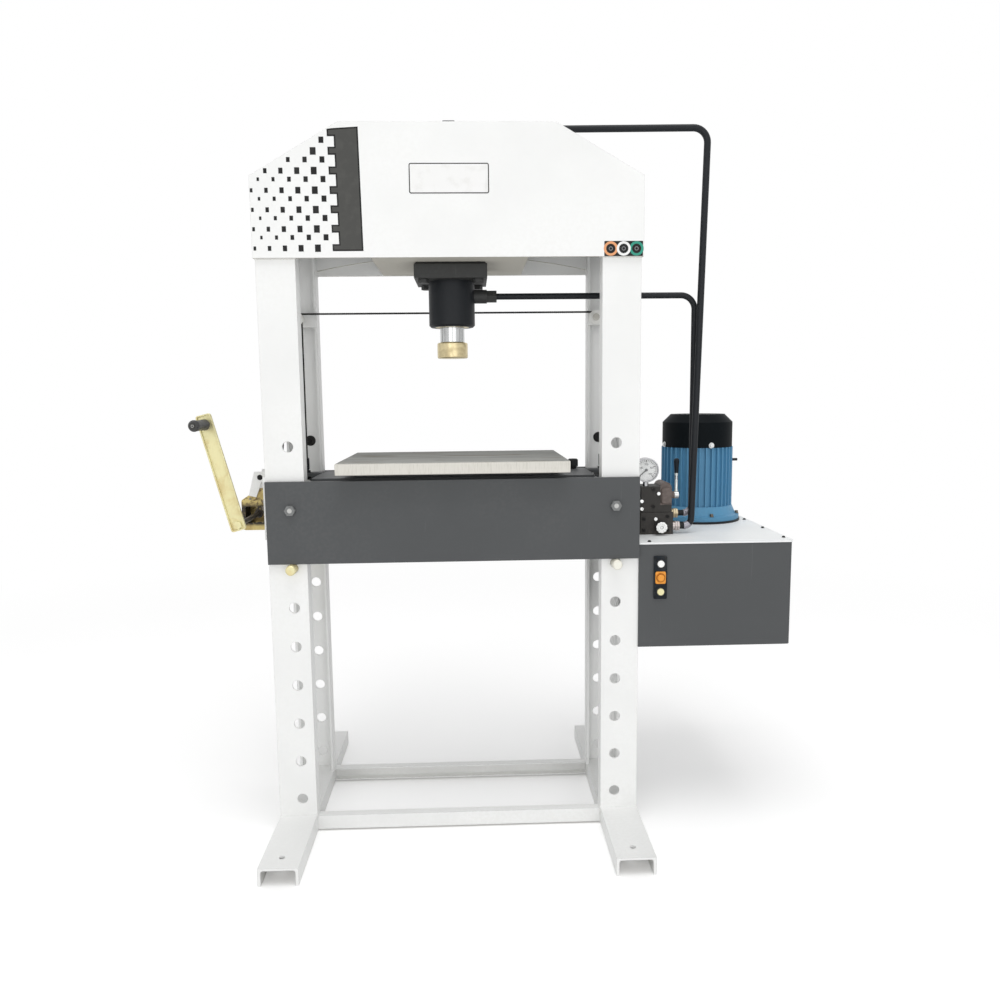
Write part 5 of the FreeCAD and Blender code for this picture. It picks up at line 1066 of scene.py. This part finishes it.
# the falls go with the bed; on the real press they shorten from the top while the bed comes up, because the rope runs
# on over its sheave
footLevel, topLevel = (corner[2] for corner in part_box("rope_falls"))
fallPlaces = ((rope["leftX"], leftPlane), (rope["rightX"], rightPlane))
fallPaths = [[(x, y, footLevel), (x, y, topLevel)] for x, y in fallPlaces]
falls = twisted.grow("ropeFalls", linesMesh(fallPaths), "wire_rope", 60, "bed")
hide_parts("rope_falls")
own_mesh(falls)
print("ropes laid")

# weld beads along the frame's joints
weld = {"Pitch": 0.0042, "Bead": 0.0034, "Flat": 0.62, "Uneven": 0.18, "Seed": 7}
joints = {"outer": 0.587, "inner": 0.467, "front": 0.190, "flange": 0.055, "footTop": 0.055, "beam": (0.006, 0.052),
          "beamFlange": 0.030, "headLow": 1.834, "bracketX": -0.595, "armY": (0.011, 0.121), "armHalf": 0.0039,
          "armZ": (1.140, 1.170)}


def weldRecipe(sizes):
    recipe = Recipe("weldBead", sizes, "whitePaint")
    g = recipe.given
    path = recipe.add("GeometryNodeMeshToCurve", {"Mesh": recipe.holder})
    points = recipe.add("GeometryNodeCurveToPoints", {"Curve": path, "Length": g("Pitch")}, mode="LENGTH")
    bead = recipe.add("GeometryNodeMeshUVSphere", {"Segments": 8, "Rings": 5, "Radius": g("Bead")})
    uneven = recipe.add("FunctionNodeRandomValue", {2: 1 - g("Uneven"), 3: 1 + g("Uneven"), 8: g("Seed")},
                        out=1, data_type="FLOAT")
    along = Wire(recipe, points.socket.node.outputs["Rotation"])
    recipe.close(recipe.placed(points, bead, Rotation=along, Scale=recipe.vector(uneven, uneven, g("Flat"))))
    return recipe


def weldPaths(sizes):
    outer, inner, foot, head = sizes["outer"], sizes["inner"], sizes["footTop"], sizes["headLow"]
    low, top = sizes["beam"]
    paths = []
    for sx in (-1, 1):
        for sy in (-1, 1):              # uprights on the feet, then the cross beam's end
            face, back = sy * sizes["front"], sy * (sizes["front"] - sizes["flange"])
            x, beamBack = sx * inner, sy * (sizes["front"] - sizes["beamFlange"])
            paths += [[(x, back, foot), (x, face, foot), (sx * outer, face, foot), (sx * outer, back, foot)],
                      [(x, face, low), (x, face, top)], [(x, face, top), (x, beamBack, top)]]
    for face in (-sizes["front"], sizes["front"]):      # head plates over the uprights
        paths += [[(-outer, face, head), (-inner, face, head)], [(inner, face, head), (outer, face, head)]]
    for side in (-sizes["armHalf"], sizes["armHalf"]):  # bracket's arms on its plate
        paths += [[(sizes["bracketX"], y + side, z) for z in sizes["armZ"]] for y in sizes["armY"]]
    return paths


weldRecipe(weld).grow("frameWelds", linesMesh(weldPaths(joints)), "white_paint", 60)
print("welds laid")

# studio; each lamp has its place, size and power
studio = {"worldLight": 0.62, "floorSize": 40.0, "floorFade": (2.0, 5.0), "floorLift": 0.20, "aim": (0.1, 0.0, 0.75),
          "lamps": {"key": ((-2.0, -6.8, 2.0), 3.4, 53.0), "fill": ((2.4, -6.8, 1.7), 3.4, 51.0),
                    "top": ((0.4, -1.8, 7.5), 4.4, 184.0)}}


def addWorld(sizes):                    # plain light, and white to the camera and in reflections
    world = bpy.data.worlds.new("studio")
    bpy.context.scene.world = world
    world.use_nodes = True
    tree = Tree(world.node_tree)
    camera, glossy, clear = (tree.add("ShaderNodeLightPath", out=name)
                             for name in ("Is Camera Ray", "Is Glossy Ray", "Is Transmission Ray"))
    seen = (camera + glossy + clear).least(1.0)
    strength = sizes["worldLight"] + seen * (1 - sizes["worldLight"])
    background = world.node_tree.nodes["Background"]
    background.inputs["Color"].default_value = (1, 1, 1, 1)
    world.node_tree.links.new(strength.socket, background.inputs["Strength"])


def addLamps(sizes):
    for name, (place, size, power) in sizes["lamps"].items():
        data = bpy.data.lights.new(name, "AREA")
        data.size = size
        data.energy = power
        lamp = addObject(name, data)
        aim = Vector(sizes["aim"]) - Vector(place)
        lamp.matrix_world = Matrix.Translation(place) @ aim.to_track_quat("-Z", "Y").to_matrix().to_4x4()


def floorPaint(sizes):                  # pale, and fading to white far from the press
    finish = Finish("floorPaint")
    distance = finish.add("ShaderNodeVectorMath", {0: finish.place}, out="Value", operation="LENGTH")
    grain = finish.noise(0.5, 3.0)
    finish.surface(Base_Color=finish.mix(grain, (0.955, 0.955, 0.955), (0.97, 0.97, 0.97)), Roughness=0.85)
    glow = finish.add("ShaderNodeEmission", {"Color": (1.0, 1.0, 1.0), "Strength": 1.0})
    camera = finish.add("ShaderNodeLightPath", out="Is Camera Ray")
    lift = finish.add("ShaderNodeEmission", {"Color": (1.0, 1.0, 1.0), "Strength": camera * sizes["floorLift"]})
    painted = Wire(finish, finish.shader.outputs[0])
    lifted = finish.add("ShaderNodeAddShader", {0: painted, 1: lift})
    faded = finish.add("ShaderNodeMixShader", {0: distance.ramp(*sizes["floorFade"]) * camera, 1: lifted, 2: glow})
    output = next(node for node in finish.nodeTree.nodes if node.type == "OUTPUT_MATERIAL")
    finish.nodeTree.links.new(faded.socket, output.inputs["Surface"])
    return finish.material


def addFloor(sizes):
    half = sizes["floorSize"] / 2
    mesh = bpy.data.meshes.new("floor")
    mesh.from_pydata([(-half, -half, 0), (half, -half, 0), (half, half, 0), (-half, half, 0)], [], [(0, 1, 2, 3)])
    mesh.materials.append(floorPaint(sizes))
    addObject("floor", mesh)


addWorld(studio)
addLamps(studio)
addFloor(studio)
bpy.context.scene.view_settings.view_transform = "Standard"
print("studio lit")
